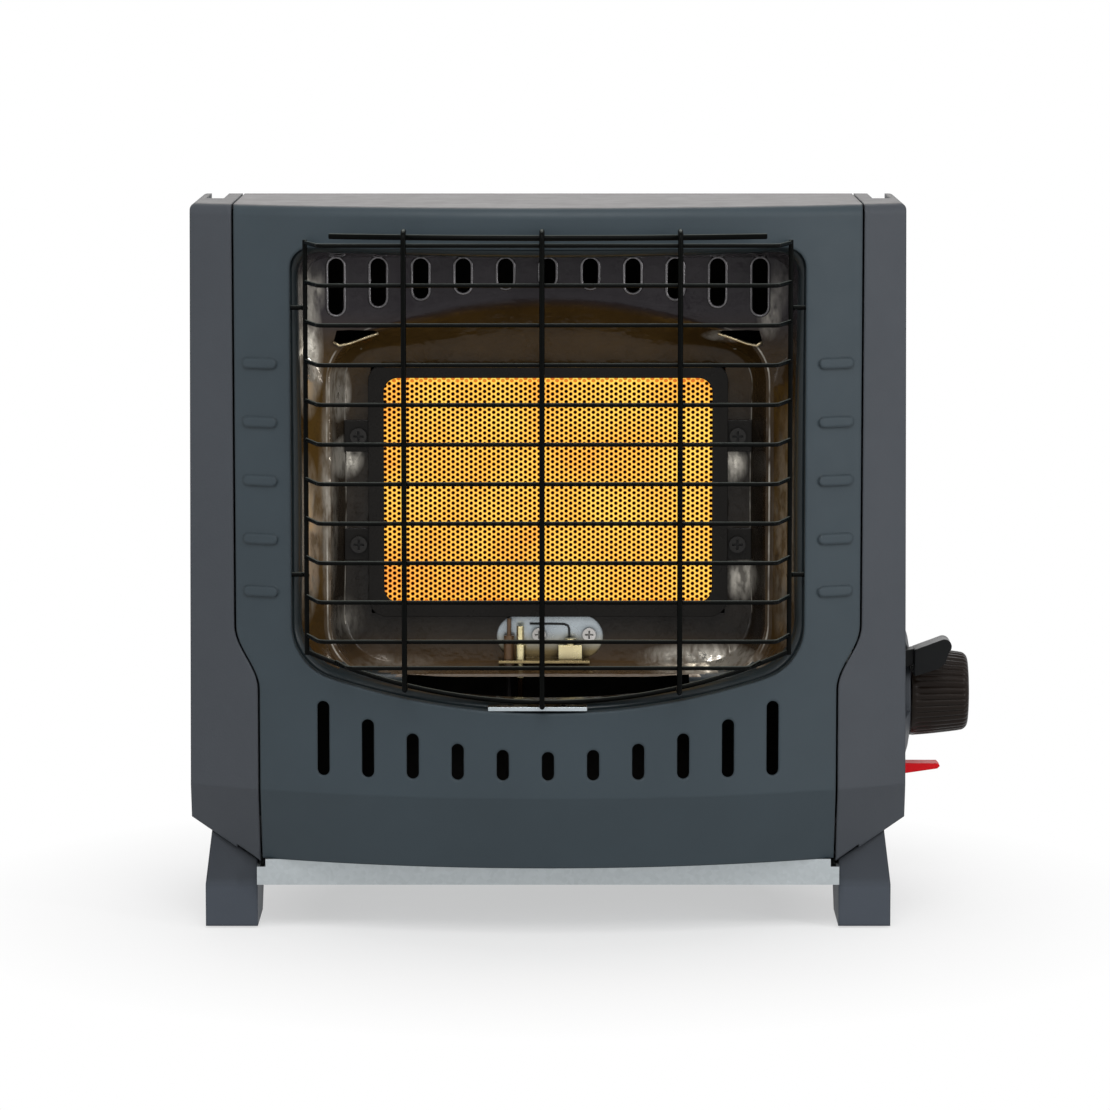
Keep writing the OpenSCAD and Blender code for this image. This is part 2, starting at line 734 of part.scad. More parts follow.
module reflector() {
    color("#2a2623") difference() {
        union() {
            intersection() {
                front_plate(-front_y, ledge_y) difference() {
                    opening2d(sheet_t);
                    opening2d(sheet_t - refl_t);
                }
                translate([0, front_cy, 0]) cylinder(r = lip_r, h = body_h);
            }
            front_plate(ledge_y - refl_t, ledge_y) difference() {
                opening2d(sheet_t - refl_t / 2);
                bowl2d(-refl_t / 2);
            }
            front_plate(ledge_y - refl_t, back_y) difference() {
                bowl2d(0);
                bowl2d(-refl_t);
            }
            front_plate(front_back, back_y) bowl2d(-refl_t / 2);
        }
        front_plate(ledge_y - 3, ledge_y + 1) for (i = [-5:5])
            translate([i * slot_p, 0]) pill(slot_w, open_top - 16 - 11 * pow(abs(i) / 5, 1.6), open_top - 5.7);
        box([-52, ledge_y - 3, open_low + 1], [52, ledge_y + 1, bowl_low - 0.6]);
        front_plate(front_back - 1, back_y + 1) translate([0, plaque_z]) square([plaque_w + 3.8, plaque_h + 3.8], center = true);
        front_plate(front_back - 1, back_y + 1) translate(cut_mid) round_rect(41.2, 16, 7.99);
        for (s = [-1, 1], z = screw_z) translate([s * screw_x, 0, z]) rod_y(2, front_back - 1, back_y + 1);
        box([-19, -43, bowl_low - 1], [-7, front_back - 0.2, bowl_low + 2]);
    }
}

lug_y = front_back - 2 * lug_t;

module burner_frame() {
    color("#2b2a2a") difference() {
        union() {
            front_plate(frame_y, lug_y + lug_t) translate([0, plaque_z]) round_rect(plaque_w + 5.6, plaque_h + 5.6, 7);
            for (s = [-1, 1], z = screw_z)
                box([s > 0 ? plaque_w / 2 + 2.3 : -plaque_w / 2 - lug_l, lug_y, z - 6],
                    [s > 0 ? plaque_w / 2 + lug_l : -plaque_w / 2 - 2.3, lug_y + lug_t, z + 6]);
        }
        front_plate(frame_y - 1, lug_y + 2) translate([0, plaque_z]) round_rect(window_w, window_h, 5.5);
        front_plate(frame_y + 1, lug_y + 2) translate([0, plaque_z]) round_rect(plaque_w + 3.6, plaque_h + 3.6, 6);
        for (s = [-1, 1], z = screw_z) translate([s * screw_x, 0, z]) rod_y(2, lug_y - 1, lug_y + 2);
    }
}

module ceramic_plaque() {
    color("#e8b04a") front_plate(frame_y + 1, plaque_back) translate([0, plaque_z]) round_rect(plaque_w, plaque_h, 5);
}

module burner_gasket() {
    color("#d9d6cc") front_plate(plaque_back, plaque_back + gasket_t) translate([0, plaque_z]) difference() {
        round_rect(plaque_w, plaque_h, 5);
        round_rect(plaque_w - 14, plaque_h - 14, 5);
    }
}

module burner_body() {
    step_y = plaque_back + gasket_t;
    color("#6d7072") difference() {
        union() {
            front_plate(frame_y + 1, step_y + 1) translate([0, plaque_z]) round_rect(plaque_w + 3, plaque_h + 3, 6);
            front_plate(step_y, tray_back) translate([0, plaque_z]) round_rect(plaque_w - 8, plaque_h - 8, 6);
            for (s = [-1, 1], z = screw_z)
                box([s > 0 ? plaque_w / 2 + 1 : -plaque_w / 2 - lug_l, lug_y + lug_t, z - 6],
                    [s > 0 ? plaque_w / 2 + lug_l : -plaque_w / 2 - 1, front_back, z + 6]);
        }
        front_plate(frame_y, step_y) translate([0, plaque_z]) round_rect(plaque_w + 1, plaque_h + 1, 5);
        front_plate(step_y - 1, tray_back - 1) translate([0, plaque_z]) round_rect(plaque_w - 10, plaque_h - 10, 5);
        for (s = [-1, 1], z = screw_z) translate([s * screw_x, 0, z]) rod_y(2, lug_y - 1, front_back + 1);
        box([-35, tube_y - 6, plaque_z - plaque_h / 2 + 2], [-17, tube_y + 6, plaque_z - plaque_h / 2 + 8]);
    }
}

module burner_screws() {
    color("#202224") for (s = [-1, 1], z = screw_z) translate([s * screw_x, 0, z]) difference() {
        union() {
            rod_y(3.2, lug_y - 2, lug_y);
            rod_y(1.9, lug_y - 0.5, back_y + 5);
        }
        box([-2, lug_y - 3, -0.4], [2, lug_y - 1, 0.4]);
        box([-0.4, lug_y - 3, -2], [0.4, lug_y - 1, 2]);
    }
}

module venturi_tube() {
    top = plaque_z - plaque_h / 2 + 4;
    color("#7b7e80") difference() {
        union() {
            translate([0, tube_y, pipe_z]) rod_x(venturi_r, -42, pipe_x - 24);
            box([-36, tube_y - 7, pipe_z], [-16, tube_y + 7, top]);
        }
        translate([0, tube_y, pipe_z]) rod_x(venturi_r - 1, -41, pipe_x - 23);
        box([-35, tube_y - 6, pipe_z], [-17, tube_y + 6, top + 1]);
        for (a = [0, 90, 180, 270]) translate([pipe_x - 34, tube_y, pipe_z]) rotate([a, 0, 0]) cylinder(r = 2.5, h = 20);
    }
}

module gas_jet() {
    color("#b08d3e") translate([0, tube_y, pipe_z]) difference() {
        union() {
            rod_x(3, pipe_x - 28, pipe_x - 18.5);
            translate([pipe_x - 19, 0, 0]) rotate([0, 90, 0]) cylinder(r = 6, h = 7, $fn = 6);
        }
        rod_x(0.4, pipe_x - 29, pipe_x - 15.5);
        rod_x(pipe_r + 0.02, pipe_x - 16, pipe_x - 11);
    }
}

module gas_pipe() {
    end_z = cart_z + 21.5;
    color("#b8864e") {
        translate([0, 0, pipe_z]) bent_wire([[pipe_x - 15.9, tube_y], [pipe_x, tube_y], [pipe_x, 30]], pipe_r, [pipe_bend]);
        translate([pipe_x, 0, 0]) rotate([90, 0, 90]) bent_wire([[30, pipe_z], [cart_y, pipe_z], [cart_y, end_z]],
            pipe_r, [pipe_bend]);
    }
}

gov_x = [hw - 59, hw - 49, hw - 23, hw - 9];
socket_r = 6.2;

module governor_body() {
    color("#9a9c98") difference() {
        union() {
            valve_axis() rod_x(15, gov_x[0], gov_x[1] + 1);
            valve_axis() rod_x(22, gov_x[1], gov_x[2]);
            valve_axis() rod_x(cover_r, gov_x[2] - 1, gov_x[3]);
            translate([pipe_x, cart_y, cart_z + 15]) cylinder(r = 6, h = 12);
            translate([lead_x, cart_y, cart_z - 26]) cylinder(r = 5, h = 10);
        }
        valve_axis() rod_x(socket_r, gov_x[0] - 1, gov_x[0] + 8);
        valve_axis() rod_x(4.5, gov_x[0] + 7, gov_x[0] + 10.5);
        valve_axis() rod_x(spindle_r + pin_gap, gov_x[2], gov_x[3] + 1);
        translate([pipe_x, cart_y, cart_z + 21.4]) cylinder(r = pipe_r + 0.02, h = 10);
        translate([lead_x, cart_y, cart_z - 27]) cylinder(r = 1.25, h = 5);
    }
}

module governor_seal() {
    color("#22211f") valve_axis() difference() {
        rod_x(4.45, gov_x[0] + 8, gov_x[0] + 10.5);
        rod_x(1.6, gov_x[0] + 7, gov_x[0] + 12);
    }
}

module governor_bracket() {
    color("#a4aaad") difference() {
        union() {
            box([gov_x[2], 31, trough_z + 2], [gov_x[2] + 1.5, 80, cart_z + 22]);
            box([pipe_x - 6, 31, trough_z + 2], [gov_x[2] + 1.5, 80, trough_z + 3.5]);
        }
        valve_axis() rod_x(cover_r + 0.1, gov_x[2] - 1, gov_x[2] + 3);
        for (y = [38, 73]) translate([pipe_x, y, 30]) cylinder(r = 2, h = 10);
    }
}

module valve_spindle() {
    color("#c7b27a") valve_axis() rod_x(spindle_r, gov_x[2] + 0.5, boss_x + 0.8 + 15);
}

module control_knob() {
    color("#1e1a19") valve_axis() translate([boss_x + 0.8, 0, 0]) about_x() difference() {
        union() {
            linear_extrude(knob_l - 4) {
                circle(knob_r - 0.6);
                for (i = [0:knob_n - 1]) rotate(i * 360 / knob_n) translate([knob_r - 0.9, 0]) circle(0.9, $fn = 24);
            }
            rotate_extrude() polygon([[0, 1], [knob_tip_r + 0.6, 1], [knob_tip_r + 0.6, knob_l - 4], [knob_tip_r, knob_l - 1.5],
                [knob_tip_r - 1.5, knob_l], [0, knob_l]]);
        }
        difference() {
            translate([0, 0, -1]) cylinder(r = knob_tip_r - 3, h = knob_l - 3);
            translate([0, 0, -1]) cylinder(r = spindle_r + 2.5, h = knob_l);
        }
        translate([0, 0, -1]) cylinder(r = spindle_r + 0.02, h = 16.2);
        box([-0.6, knob_tip_r - 7, knob_l - 0.5], [0.6, knob_tip_r + 3, knob_l + 1]);
    }
}

lever_x = gov_x[3] - 5;

module lock_lever() {
    color("#141416") {
        valve_axis() side_plate(lever_x, lever_x + 3) {
            difference() {
                circle(cover_r + 4.5);
                circle(cover_r + pin_gap);
            }
            sector2d(cover_r + 2, 31.5, 132.5, 151);
        }
        valve_axis() front_plate(-25, -17) polygon([[lever_x, 13], [boss_x - 3, 13], [boss_x + 2, 14.5],
            [boss_x + 2, 20.8], [boss_x - 4, 19.5], [lever_x, 19.5]]);
        valve_axis() front_plate(-29, -16.5) {
            polygon([[boss_x + 0.8, 10], [boss_x + 10.5, 13], [boss_x + 12.9, 15.2], [boss_x + 15, 21],
                [boss_x + 13, 24], [boss_x + 11.6, 24.6], [boss_x + 0.8, 20.6]]);
            translate([boss_x + 12.6, 21.9]) circle(2.9);
        }
    }
}

module safety_lever() {
    x0 = gov_x[3] - 1.6;
    color("#d41f2b") {
        valve_axis() side_plate(x0, x0 + 1.6) {
            difference() {
                circle(cover_r + 3.5);
                circle(cover_r + pin_gap);
            }
            sector2d(cover_r + 2, 33, 263, 277);
        }
        valve_axis() front_plate(-4.5, 4.5)
            polygon([[x0, -33.2], [hw + 6, -33.2], [hw + tab_l, -31], [hw + tab_l + 1, -30], [hw + tab_l, -28.9], [x0, -28.8]]);
    }
}

module cartridge_pusher() {
    color("#8f9598") {
        side_plate(-bay_x + 3.1, -bay_x + 6.1) {
            translate([cart_y - 25, cart_z - 37]) square([50, 66]);
            translate([22, trough_z + 2.05]) square([14, 12]);
        }
        box([-bay_x + 3.1, 22, trough_z + 2.05], [bay_x + 1.5, 30, trough_z + 4]);
    }
}

module piezo_igniter() {
    color("#e4e2da") translate([igniter_x, 0, 48]) {
        rod_y(6, top_y + 3, top_y + 27);
        rod_y(3.5, top_y, top_y + 4);
    }
}

module ignition_lead() {
    color("#6b1f1c") {
        translate([0, spark[1], 0]) rotate([90, 0, 0]) bent_wire([[spark[0], pilot_z - 7], [spark[0], 48], [igniter_x - 15, 48]],
            1.1, [6]);
        translate([0, 0, 48]) bent_wire([[igniter_x - 15, spark[1]], [igniter_x, spark[1]], [igniter_x, top_y]], 1.1, [6]);
    }
}

module electrode() {
    color("#7a4a30") translate([spark[0], spark[1], pilot_z]) {
        translate([0, 0, -4]) cylinder(r = 2, h = 13, $fn = 48);
        translate([0, 0, -7]) cylinder(r = 0.8, h = 22.7, $fn = 32);
    }
}

module thermocouple() {
    color("#b99146") translate([probe[0], probe[1], pilot_z]) {
        cylinder(r = 2.2, h = 6, $fn = 48);
        translate([0, 0, -7]) cylinder(r = 1.4, h = 20, $fn = 32);
    }
}

module thermocouple_lead() {
    color("#b07a45") {
        translate([0, probe[1], 0]) rotate([90, 0, 0]) bent_wire([[probe[0], pilot_z - 7], [probe[0], 40], [lead_x - 23, 40]], 1.2, [6]);
        translate([0, 0, 40]) bent_wire([[lead_x - 23, probe[1]], [lead_x, probe[1]], [lead_x, 30]], 1.2, [6]);
        translate([lead_x, 0, 0]) rotate([90, 0, 90]) bent_wire([[30, 40], [cart_y, 40], [cart_y, cart_z - 23]], 1.2, [6]);
    }
}

module pilot_bracket() {
    color("#c3c8cb") difference() {
        union() {
            box([-26, back_y, pilot_z - 7], [28, back_y + 1, plaque_low - 2.5]);
            box([-12, front_back - 0.4, pilot_z - 1], [14, back_y + 0.5, pilot_z]);
            box([-19, probe[1] - 3.6, pilot_z - 1], [16, front_back - 0.1, pilot_z]);
        }
        translate([spark[0], spark[1], pilot_z - 13]) cylinder(r = 2.02, h = 20, $fn = 48);
        translate([probe[0], probe[1], pilot_z - 13]) cylinder(r = 1.42, h = 20, $fn = 48);
        for (x = [-3.5, 15.8]) translate([x, 0, pilot_z + 9]) rod_y(1.45, back_y - 1, back_y + 2);
    }
}

module pilot_screws() {
    color("#c9cdd0") for (x = [-3.5, 15.8]) translate([x, 0, pilot_z + 9]) difference() {
        union() {
            rod_y(2.6, back_y - 1.8, back_y);
            rod_y(1.4, back_y - 0.5, back_y + 4);
        }
        box([-1.6, back_y - 3, -0.3], [1.6, back_y - 1, 0.3]);
        box([-0.3, back_y - 3, -1.6], [0.3, back_y - 1, 1.6]);
    }
}

module pilot_burner() {
    color("#c09a4a") difference() {
        union() {
            box([4, front_back - 5.4, pilot_z], [13, front_back - 0.4, pilot_z + 5.5]);
            translate([8.5, front_back - 2.9, pilot_z + 5]) cylinder(r = 2, h = 3, $fn = 48);
        }
        translate([8.5, front_back - 2.9, pilot_z + 2]) cylinder(r = 0.7, h = 8, $fn = 32);
    }
}

module heat_shield() {
    color("#b3b9bb") difference() {
        box([-pin_x, shield_y, pan_z + 1], [bay_x - 1.5, shield_y + 1, body_h - sheet_t]);
        translate([pipe_x, 0, pipe_z]) rod_y(pipe_r + 1, shield_y - 1, shield_y + 2);
        translate([90, 0, 48]) rod_y(2, shield_y - 1, shield_y + 2);
        translate([103, 0, 40]) rod_y(2.2, shield_y - 1, shield_y + 2);
        box([104, shield_y - 1, 0], [120, shield_y + 2, 33]);
    }
}

front_casing();
left_side_panel();
right_side_panel();
base_pan();
left_foot();
right_foot();
foot_pads();
rear_housing();
cartridge_lid();
lid_hinge_pin();
carry_handle();
handle_grip();
guard_bars();
guard_uprights();
guard_frame();
guard_clip();
reflector();
burner_frame();
ceramic_plaque();
burner_gasket();
burner_body();
venturi_tube();
gas_jet();
gas_pipe();
governor_body();
governor_seal();
governor_bracket();
valve_spindle();
control_knob();
lock_lever();
safety_lever();
cartridge_pusher();
piezo_igniter();
ignition_lead();
electrode();
thermocouple();
thermocouple_lead();
pilot_bracket();
pilot_burner();
heat_shield();
rear_screws();
burner_screws();
pilot_screws();
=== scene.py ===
"""Butane heater: finishes, pressed sheet, burner tile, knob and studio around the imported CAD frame."""
import bpy
import bmesh
import json
import math
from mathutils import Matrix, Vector


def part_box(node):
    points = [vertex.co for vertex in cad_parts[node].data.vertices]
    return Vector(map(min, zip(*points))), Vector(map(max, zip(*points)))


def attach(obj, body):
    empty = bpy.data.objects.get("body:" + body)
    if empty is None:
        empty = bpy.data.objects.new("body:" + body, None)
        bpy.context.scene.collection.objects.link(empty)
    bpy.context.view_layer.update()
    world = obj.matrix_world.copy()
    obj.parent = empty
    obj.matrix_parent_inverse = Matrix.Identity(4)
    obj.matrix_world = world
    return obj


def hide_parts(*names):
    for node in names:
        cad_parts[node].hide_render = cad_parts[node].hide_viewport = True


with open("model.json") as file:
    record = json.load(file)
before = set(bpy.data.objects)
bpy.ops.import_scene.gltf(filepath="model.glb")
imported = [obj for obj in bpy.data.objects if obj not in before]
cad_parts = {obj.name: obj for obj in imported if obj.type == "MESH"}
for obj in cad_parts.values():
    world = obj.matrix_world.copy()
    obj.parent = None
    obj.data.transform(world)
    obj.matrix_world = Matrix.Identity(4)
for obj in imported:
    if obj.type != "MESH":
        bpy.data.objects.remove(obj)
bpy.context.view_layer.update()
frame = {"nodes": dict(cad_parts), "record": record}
NODES = frame["nodes"]
MM = 0.001
scene = bpy.context.scene


# Shader nodes

class Shader:
    """A node tree that starts empty, with short ways to add and link its nodes."""

    def __init__(self, tree):
        self.tree = tree
        tree.nodes.clear()

    def add(self, kind, inputs=None, **settings):
        """Add a node. Each input is a constant for its socket, or an output to link to it."""
        node = self.tree.nodes.new("ShaderNode" + kind)
        for key, value in settings.items():
            setattr(node, key, value)
        for key, value in (inputs or {}).items():
            if isinstance(value, bpy.types.NodeSocket):
                self.tree.links.new(value, node.inputs[key])
            else:
                node.inputs[key].default_value = value
        return node

    def coord(self):
        return self.add("TexCoord").outputs["Object"]

    def axes(self, vector):
        return self.add("SeparateXYZ", {"Vector": vector}).outputs

    def noise(self, coord, scale, detail=4.0, stretch=None):
        if stretch:
            coord = self.add("Mapping", {"Vector": coord, "Scale": stretch}).outputs["Vector"]
        inputs = {"Vector": coord, "Scale": scale, "Detail": detail, "Roughness": 0.55}
        return self.add("TexNoise", inputs).outputs["Fac"]

    def ramp(self, value, stops):
        """Map a value to the greys or colours given at its stops."""
        node = self.add("ValToRGB", {"Fac": value})
        elements = node.color_ramp.elements
        while len(elements) < len(stops):
            elements.new(0.5)
        for element, (place, sheen_tint) in zip(elements, stops):
            element.position = place
            element.color = (sheen_tint, sheen_tint, sheen_tint, 1) if isinstance(sheen_tint, float) else (*sheen_tint, 1)
        return node.outputs["Color"]

    def math(self, operation, *values, **settings):
        node = self.add("Math", dict(enumerate(values)), operation=operation, **settings)
        return node.outputs["Value"]

    def vector(self, operation, *values):
        node = self.add("VectorMath", dict(enumerate(values)), operation=operation)
        return node.outputs["Value" if operation == "LENGTH" else "Vector"]

    def mix(self, factor, first, second, blend="MIX"):
        inputs = {"Factor": factor, "A": first, "B": second}
        return self.add("Mix", inputs, data_type="RGBA", blend_type=blend).outputs["Result"]

    def bump(self, height, strength, distance, normal=None):
        inputs = {"Height": height, "Strength": strength, "Distance": distance}
        if normal is not None:
            inputs["Normal"] = normal
        return self.add("Bump", inputs).outputs["Normal"]

    def principled(self, inputs):
        """Add the surface shader and link it to the material's output."""
        shader = self.add("BsdfPrincipled", inputs).outputs["BSDF"]
        self.add("OutputMaterial", {"Surface": shader})


def new_material(name):
    made = bpy.data.materials.new(name)
    made.use_nodes = True
    return made, Shader(made.node_tree)


def shade(colour, k):
    return tuple(min(1.0, v * k) for v in colour)


# Finishes

def surface(name, base, rough, metallic=0.0, grain=900.0, grain_bump=0.05, mottle=0.12, stretch=None,
            rough_var=0.08, edge=0.0006, spec=0.5, top_sheen=None, steep=0.9, above=0.262, corner_shade_reach=0.0, shade_by_height=None):
    """A moulded, painted or metal finish: mottled colour, varied roughness, fine grain and softened edges.

    The tint for faces that look up and lie higher than above is painted sheen, standing in for light on
    tops. The stops by height that the colour is multiplied by are painted shade. The corner reach is how far
    painted shade darkens inner corners.
    """
    made, sh = new_material(name)
    coord = sh.coord()
    broad = sh.noise(coord, 22.0, 5.0)
    height = sh.axes(coord)["Z"]
    colour = sh.ramp(broad, [(0.3, shade(base, 1 - mottle)), (0.7, shade(base, 1 + mottle))])
    # Painted sheen: faces that look up and lie high get their own tint in place of the light that falls on
    # them.
    if top_sheen:
        facing = sh.axes(sh.add("NewGeometry").outputs["True Normal"])["Z"]
        upward = sh.ramp(facing, [(steep, 0.0), (0.99, 1.0)])
        raised = sh.ramp(height, [(above, 0.0), (above + 0.008, 1.0)])
        sheen_tint = sh.ramp(broad, [(0.3, shade(top_sheen, 0.92)), (0.7, shade(top_sheen, 1.08))])
        colour = sh.mix(sh.math("MULTIPLY", upward, raised), colour, sheen_tint)
    # Painted shade: the colour is multiplied by stops given by height, tinted where the stops are coloured.
    if shade_by_height:
        colour = sh.mix(1.0, colour, sh.ramp(height, shade_by_height), "MULTIPLY")
    # Painted shade: inner corners, found by ambient occlusion, are darkened.
    if corner_shade_reach:
        open_sky = sh.add("AmbientOcclusion", {"Distance": corner_shade_reach}, samples=6).outputs["AO"]
        colour = sh.mix(1.0, colour, sh.ramp(open_sky, [(0.35, 0.06), (0.9, 1.0)]), "MULTIPLY")
    uneven = sh.noise(coord, 120.0, 4.0, stretch)
    smoothest, roughest = max(0.02, rough - rough_var), min(1.0, rough + rough_var)
    soft_edge = sh.add("Bevel", {"Radius": edge}, samples=4).outputs["Normal"] if edge else None
    sh.principled({
        "Base Color": colour,
        "Roughness": sh.ramp(uneven, [(0.3, smoothest), (0.7, roughest)]),
        "Metallic": metallic,
        "Specular IOR Level": spec,
        "Normal": sh.bump(sh.noise(coord, grain, 3.0, stretch), grain_bump, 0.0004, soft_edge),
    })
    return made


# Painted highlights on the pressed sheet, in mm: middle x and z, half sizes in x and z, strength.
PAINTED_HIGHLIGHTS = (
    (60, 103, 28, 6.5, 1.0), (71, 178, 6, 9, 0.8), (74, 134, 7, 10, 0.75), (-77, 181, 7, 9, 1.0),
    (-80, 206, 5, 12, 0.9), (-91, 222, 6, 26, 1.0), (-92, 152, 6, 34, 0.75), (91, 150, 6, 60, 0.22),
    (84, 236, 5, 10, 0.4), (-78, 118, 8, 10, 0.15), (-60, 101, 22, 4, 0.15), (70, 228, 12, 3, 0.8),
    (-90, 247, 7, 12, 0.6), (88, 247, 6, 12, 0.15), (-84, 165, 4, 45, 0.35),
)


def reflector_finish():
    """Dark enamel, cool in the slotted band, with a warm brown painted reflection of the tile's glow in the
    bowl's arch, a warm brown band and painted black shade at its lower edge, painted highlights in given places
    and painted highlight lines along the mesh's "edges" attribute."""
    made, sh = new_material("reflector_steel")
    coord = sh.coord()
    broad = sh.noise(coord, 16.0, 4.0)
    place = sh.axes(coord)
    height = place["Z"]
    # Painted reflection: a warm brown stands in for the tile's glow reflected in the bowl's arch and side
    # walls.
    glow_reflection = sh.ramp(broad, [(0.3, (0.014, 0.0075, 0.0026)), (0.55, (0.045, 0.025, 0.007)),
                            (0.8, (0.075, 0.044, 0.013))])
    cool = sh.ramp(broad, [(0.3, (0.012, 0.010, 0.012)), (0.7, (0.034, 0.029, 0.034))])
    coal = sh.ramp(broad, [(0.3, (0.006, 0.0052, 0.0045)), (0.7, (0.020, 0.017, 0.014))])
    depth = {"Value": place["Y"], "From Min": -0.0425, "From Max": -0.0462}
    ahead = sh.add("MapRange", depth).outputs["Result"]
    band = sh.math("MULTIPLY", ahead, sh.ramp(height, [(0.222, 0.0), (0.236, 1.0)]))
    bowl = sh.math("SUBTRACT", 1.0, ahead)
    lower = sh.math("MULTIPLY", bowl, sh.ramp(height, [(0.190, 0.9), (0.222, 0.0)]))
    # A warm brown band low in the bowl, between about 96 and 112 mm.
    low_brown_band = sh.ramp(height, [(0.0955, 0.0), (0.0965, 0.85), (0.103, 0.6), (0.112, 0.0)])
    # Painted shade: the sheet lower than about 94 mm, under the gap, is made nearly black.
    low_shade = sh.ramp(height, [(0.0935, 1.0), (0.0952, 0.0)])
    colour = sh.mix(band, glow_reflection, cool)
    colour = sh.mix(lower, colour, coal)
    colour = sh.mix(low_brown_band, colour, (0.085, 0.050, 0.022, 1))
    colour = sh.mix(low_shade, colour, (0.003, 0.003, 0.003, 1))

    # Painted highlights: bright metallic places and lines mixed over the enamel, broken up by noise.
    patch = sh.ramp(sh.noise(coord, 90.0, 2.0), [(0.40, 0.0), (0.62, 1.0)])
    beaten = sh.ramp(sh.noise(coord, 300.0, 3.0, (1, 1, 0.4)), [(0.38, 0.2), (0.62, 1.0)])
    # Painted highlight lines along the bowl's edge, read from the mesh's edges attribute.
    line = sh.add("VertexColor", layer_name="edges").outputs["Color"]
    highlight_places = [(sh.ramp(line, [(0.72, 0.0), (0.95, 1.0)]), patch, 0.55)]
    for x, z, half_x, half_z, strength in PAINTED_HIGHLIGHTS:
        local = sh.add("Mapping", {"Vector": coord, "Location": (-x / half_x, 0, -z / half_z),
                                   "Scale": (1 / (half_x * MM), 0, 1 / (half_z * MM))})
        off = sh.vector("LENGTH", local.outputs["Vector"])
        highlight_places.append((sh.ramp(off, [(0.15, 1.0), (1.0, 0.0)]), beaten, strength))
    highlight_share = 0.0
    for spot, texture, strength in highlight_places:
        highlight_share = sh.math("MULTIPLY_ADD", sh.math("MULTIPLY", spot, texture), strength, highlight_share, use_clamp=True)

    waves, fine = sh.noise(coord, 70.0, 3.0), sh.noise(coord, 420.0, 2.0)
    sh.principled({
        "Base Color": sh.mix(highlight_share, colour, (0.68, 0.64, 0.56, 1)),
        "Metallic": highlight_share,
        "Specular IOR Level": 0.18,
        "Roughness": sh.ramp(sh.noise(coord, 60.0, 3.0), [(0.3, 0.07), (0.75, 0.2)]),
        "Normal": sh.bump(sh.math("MULTIPLY_ADD", fine, 0.22, waves), 0.5, 0.0016),
    })
    return made


def galvanised_finish(base=(0.42, 0.455, 0.47), rough=0.36):
    """Galvanised sheet with zinc crystals."""
    made, sh = new_material("galvanised")
    coord = sh.coord()
    crystals = sh.add("TexVoronoi", {"Vector": coord, "Scale": 650.0}, feature="F1").outputs["Color"]
    crystal = sh.add("SeparateColor", {"Color": crystals}).outputs
    sh.principled({
        "Base Color": sh.ramp(crystal["Red"], [(0.0, shade(base, 0.96)), (1.0, shade(base, 1.04))]),
        "Roughness": sh.ramp(crystal["Green"], [(0.0, rough - 0.05), (1.0, rough + 0.06)]),
        "Metallic": 0.85,
        "Normal": sh.bump(sh.noise(coord, 700.0), 0.08, 0.0003),
    })
    return made


HOLE_PITCH = 2.0 * MM
HOLE_COLUMN = HOLE_PITCH * math.sqrt(3) / 2
HOLE_RADIUS = 0.66 * MM
HOLE_DEPTH = 2.4 * MM
PLAQUE_Z = 0.1683


def glow_finish():
    """Fired ceramic at working heat: yellow with orange patches, orange rims round the holes and hot
    places between them."""
    made, sh = new_material("glowing_ceramic")
    coord = sh.coord()
    fine = sh.noise(coord, 900.0, 2.0)
    colour = sh.ramp(sh.noise(coord, 34.0, 4.0), [(0.30, (0.92, 0.31, 0.012)), (0.44, (1.0, 0.54, 0.035)),
                                                  (0.62, (1.0, 0.72, 0.085))])
    # The hexagonal grid of holes is two rectangular grids, so the nearer of two distances is used.
    distances = []
    for x, z in ((0.0, PLAQUE_Z), (HOLE_COLUMN, PLAQUE_Z + HOLE_PITCH / 2)):
        cell = sh.vector("WRAP", coord, (x + HOLE_COLUMN, 1, z + HOLE_PITCH / 2),
                         (x - HOLE_COLUMN, -1, z - HOLE_PITCH / 2))
        off = sh.vector("SUBTRACT", cell, (x, 0, z))
        distances.append(sh.vector("LENGTH", sh.vector("MULTIPLY", off, (1 / HOLE_PITCH, 0, 1 / HOLE_PITCH))))
    away = sh.math("MINIMUM", *distances)
    rim = sh.ramp(away, [(0.33, (0.62, 0.25, 0.06)), (0.39, (0.95, 0.76, 0.5)), (0.45, (1.0, 1.0, 1.0))])
    colour = sh.mix(1.0, colour, rim, "MULTIPLY")
    colour = sh.mix(sh.ramp(away, [(0.44, 0.0), (0.56, 0.6)]), colour, (1.0, 0.86, 0.22, 1))
    sh.principled({
        "Base Color": (0.16, 0.07, 0.015, 1),
        "Emission Color": colour,
        "Emission Strength": sh.ramp(fine, [(0.3, 0.86), (0.7, 1.04)]),
        "Roughness": 0.85,
        "Normal": sh.bump(fine, 0.2, 0.0002),
    })
    return made


def hole_finish(name, base, strength):
    """The faintly glowing inside of the tile's holes."""
    made, sh = new_material(name)
    colour = sh.ramp(sh.noise(sh.coord(), 200.0), [(0.3, shade(base, 0.7)), (0.7, shade(base, 1.3))])
    sh.principled({
        "Base Color": colour,
        "Emission Color": colour,
        "Emission Strength": strength,
        "Roughness": 0.9,
    })
    return made


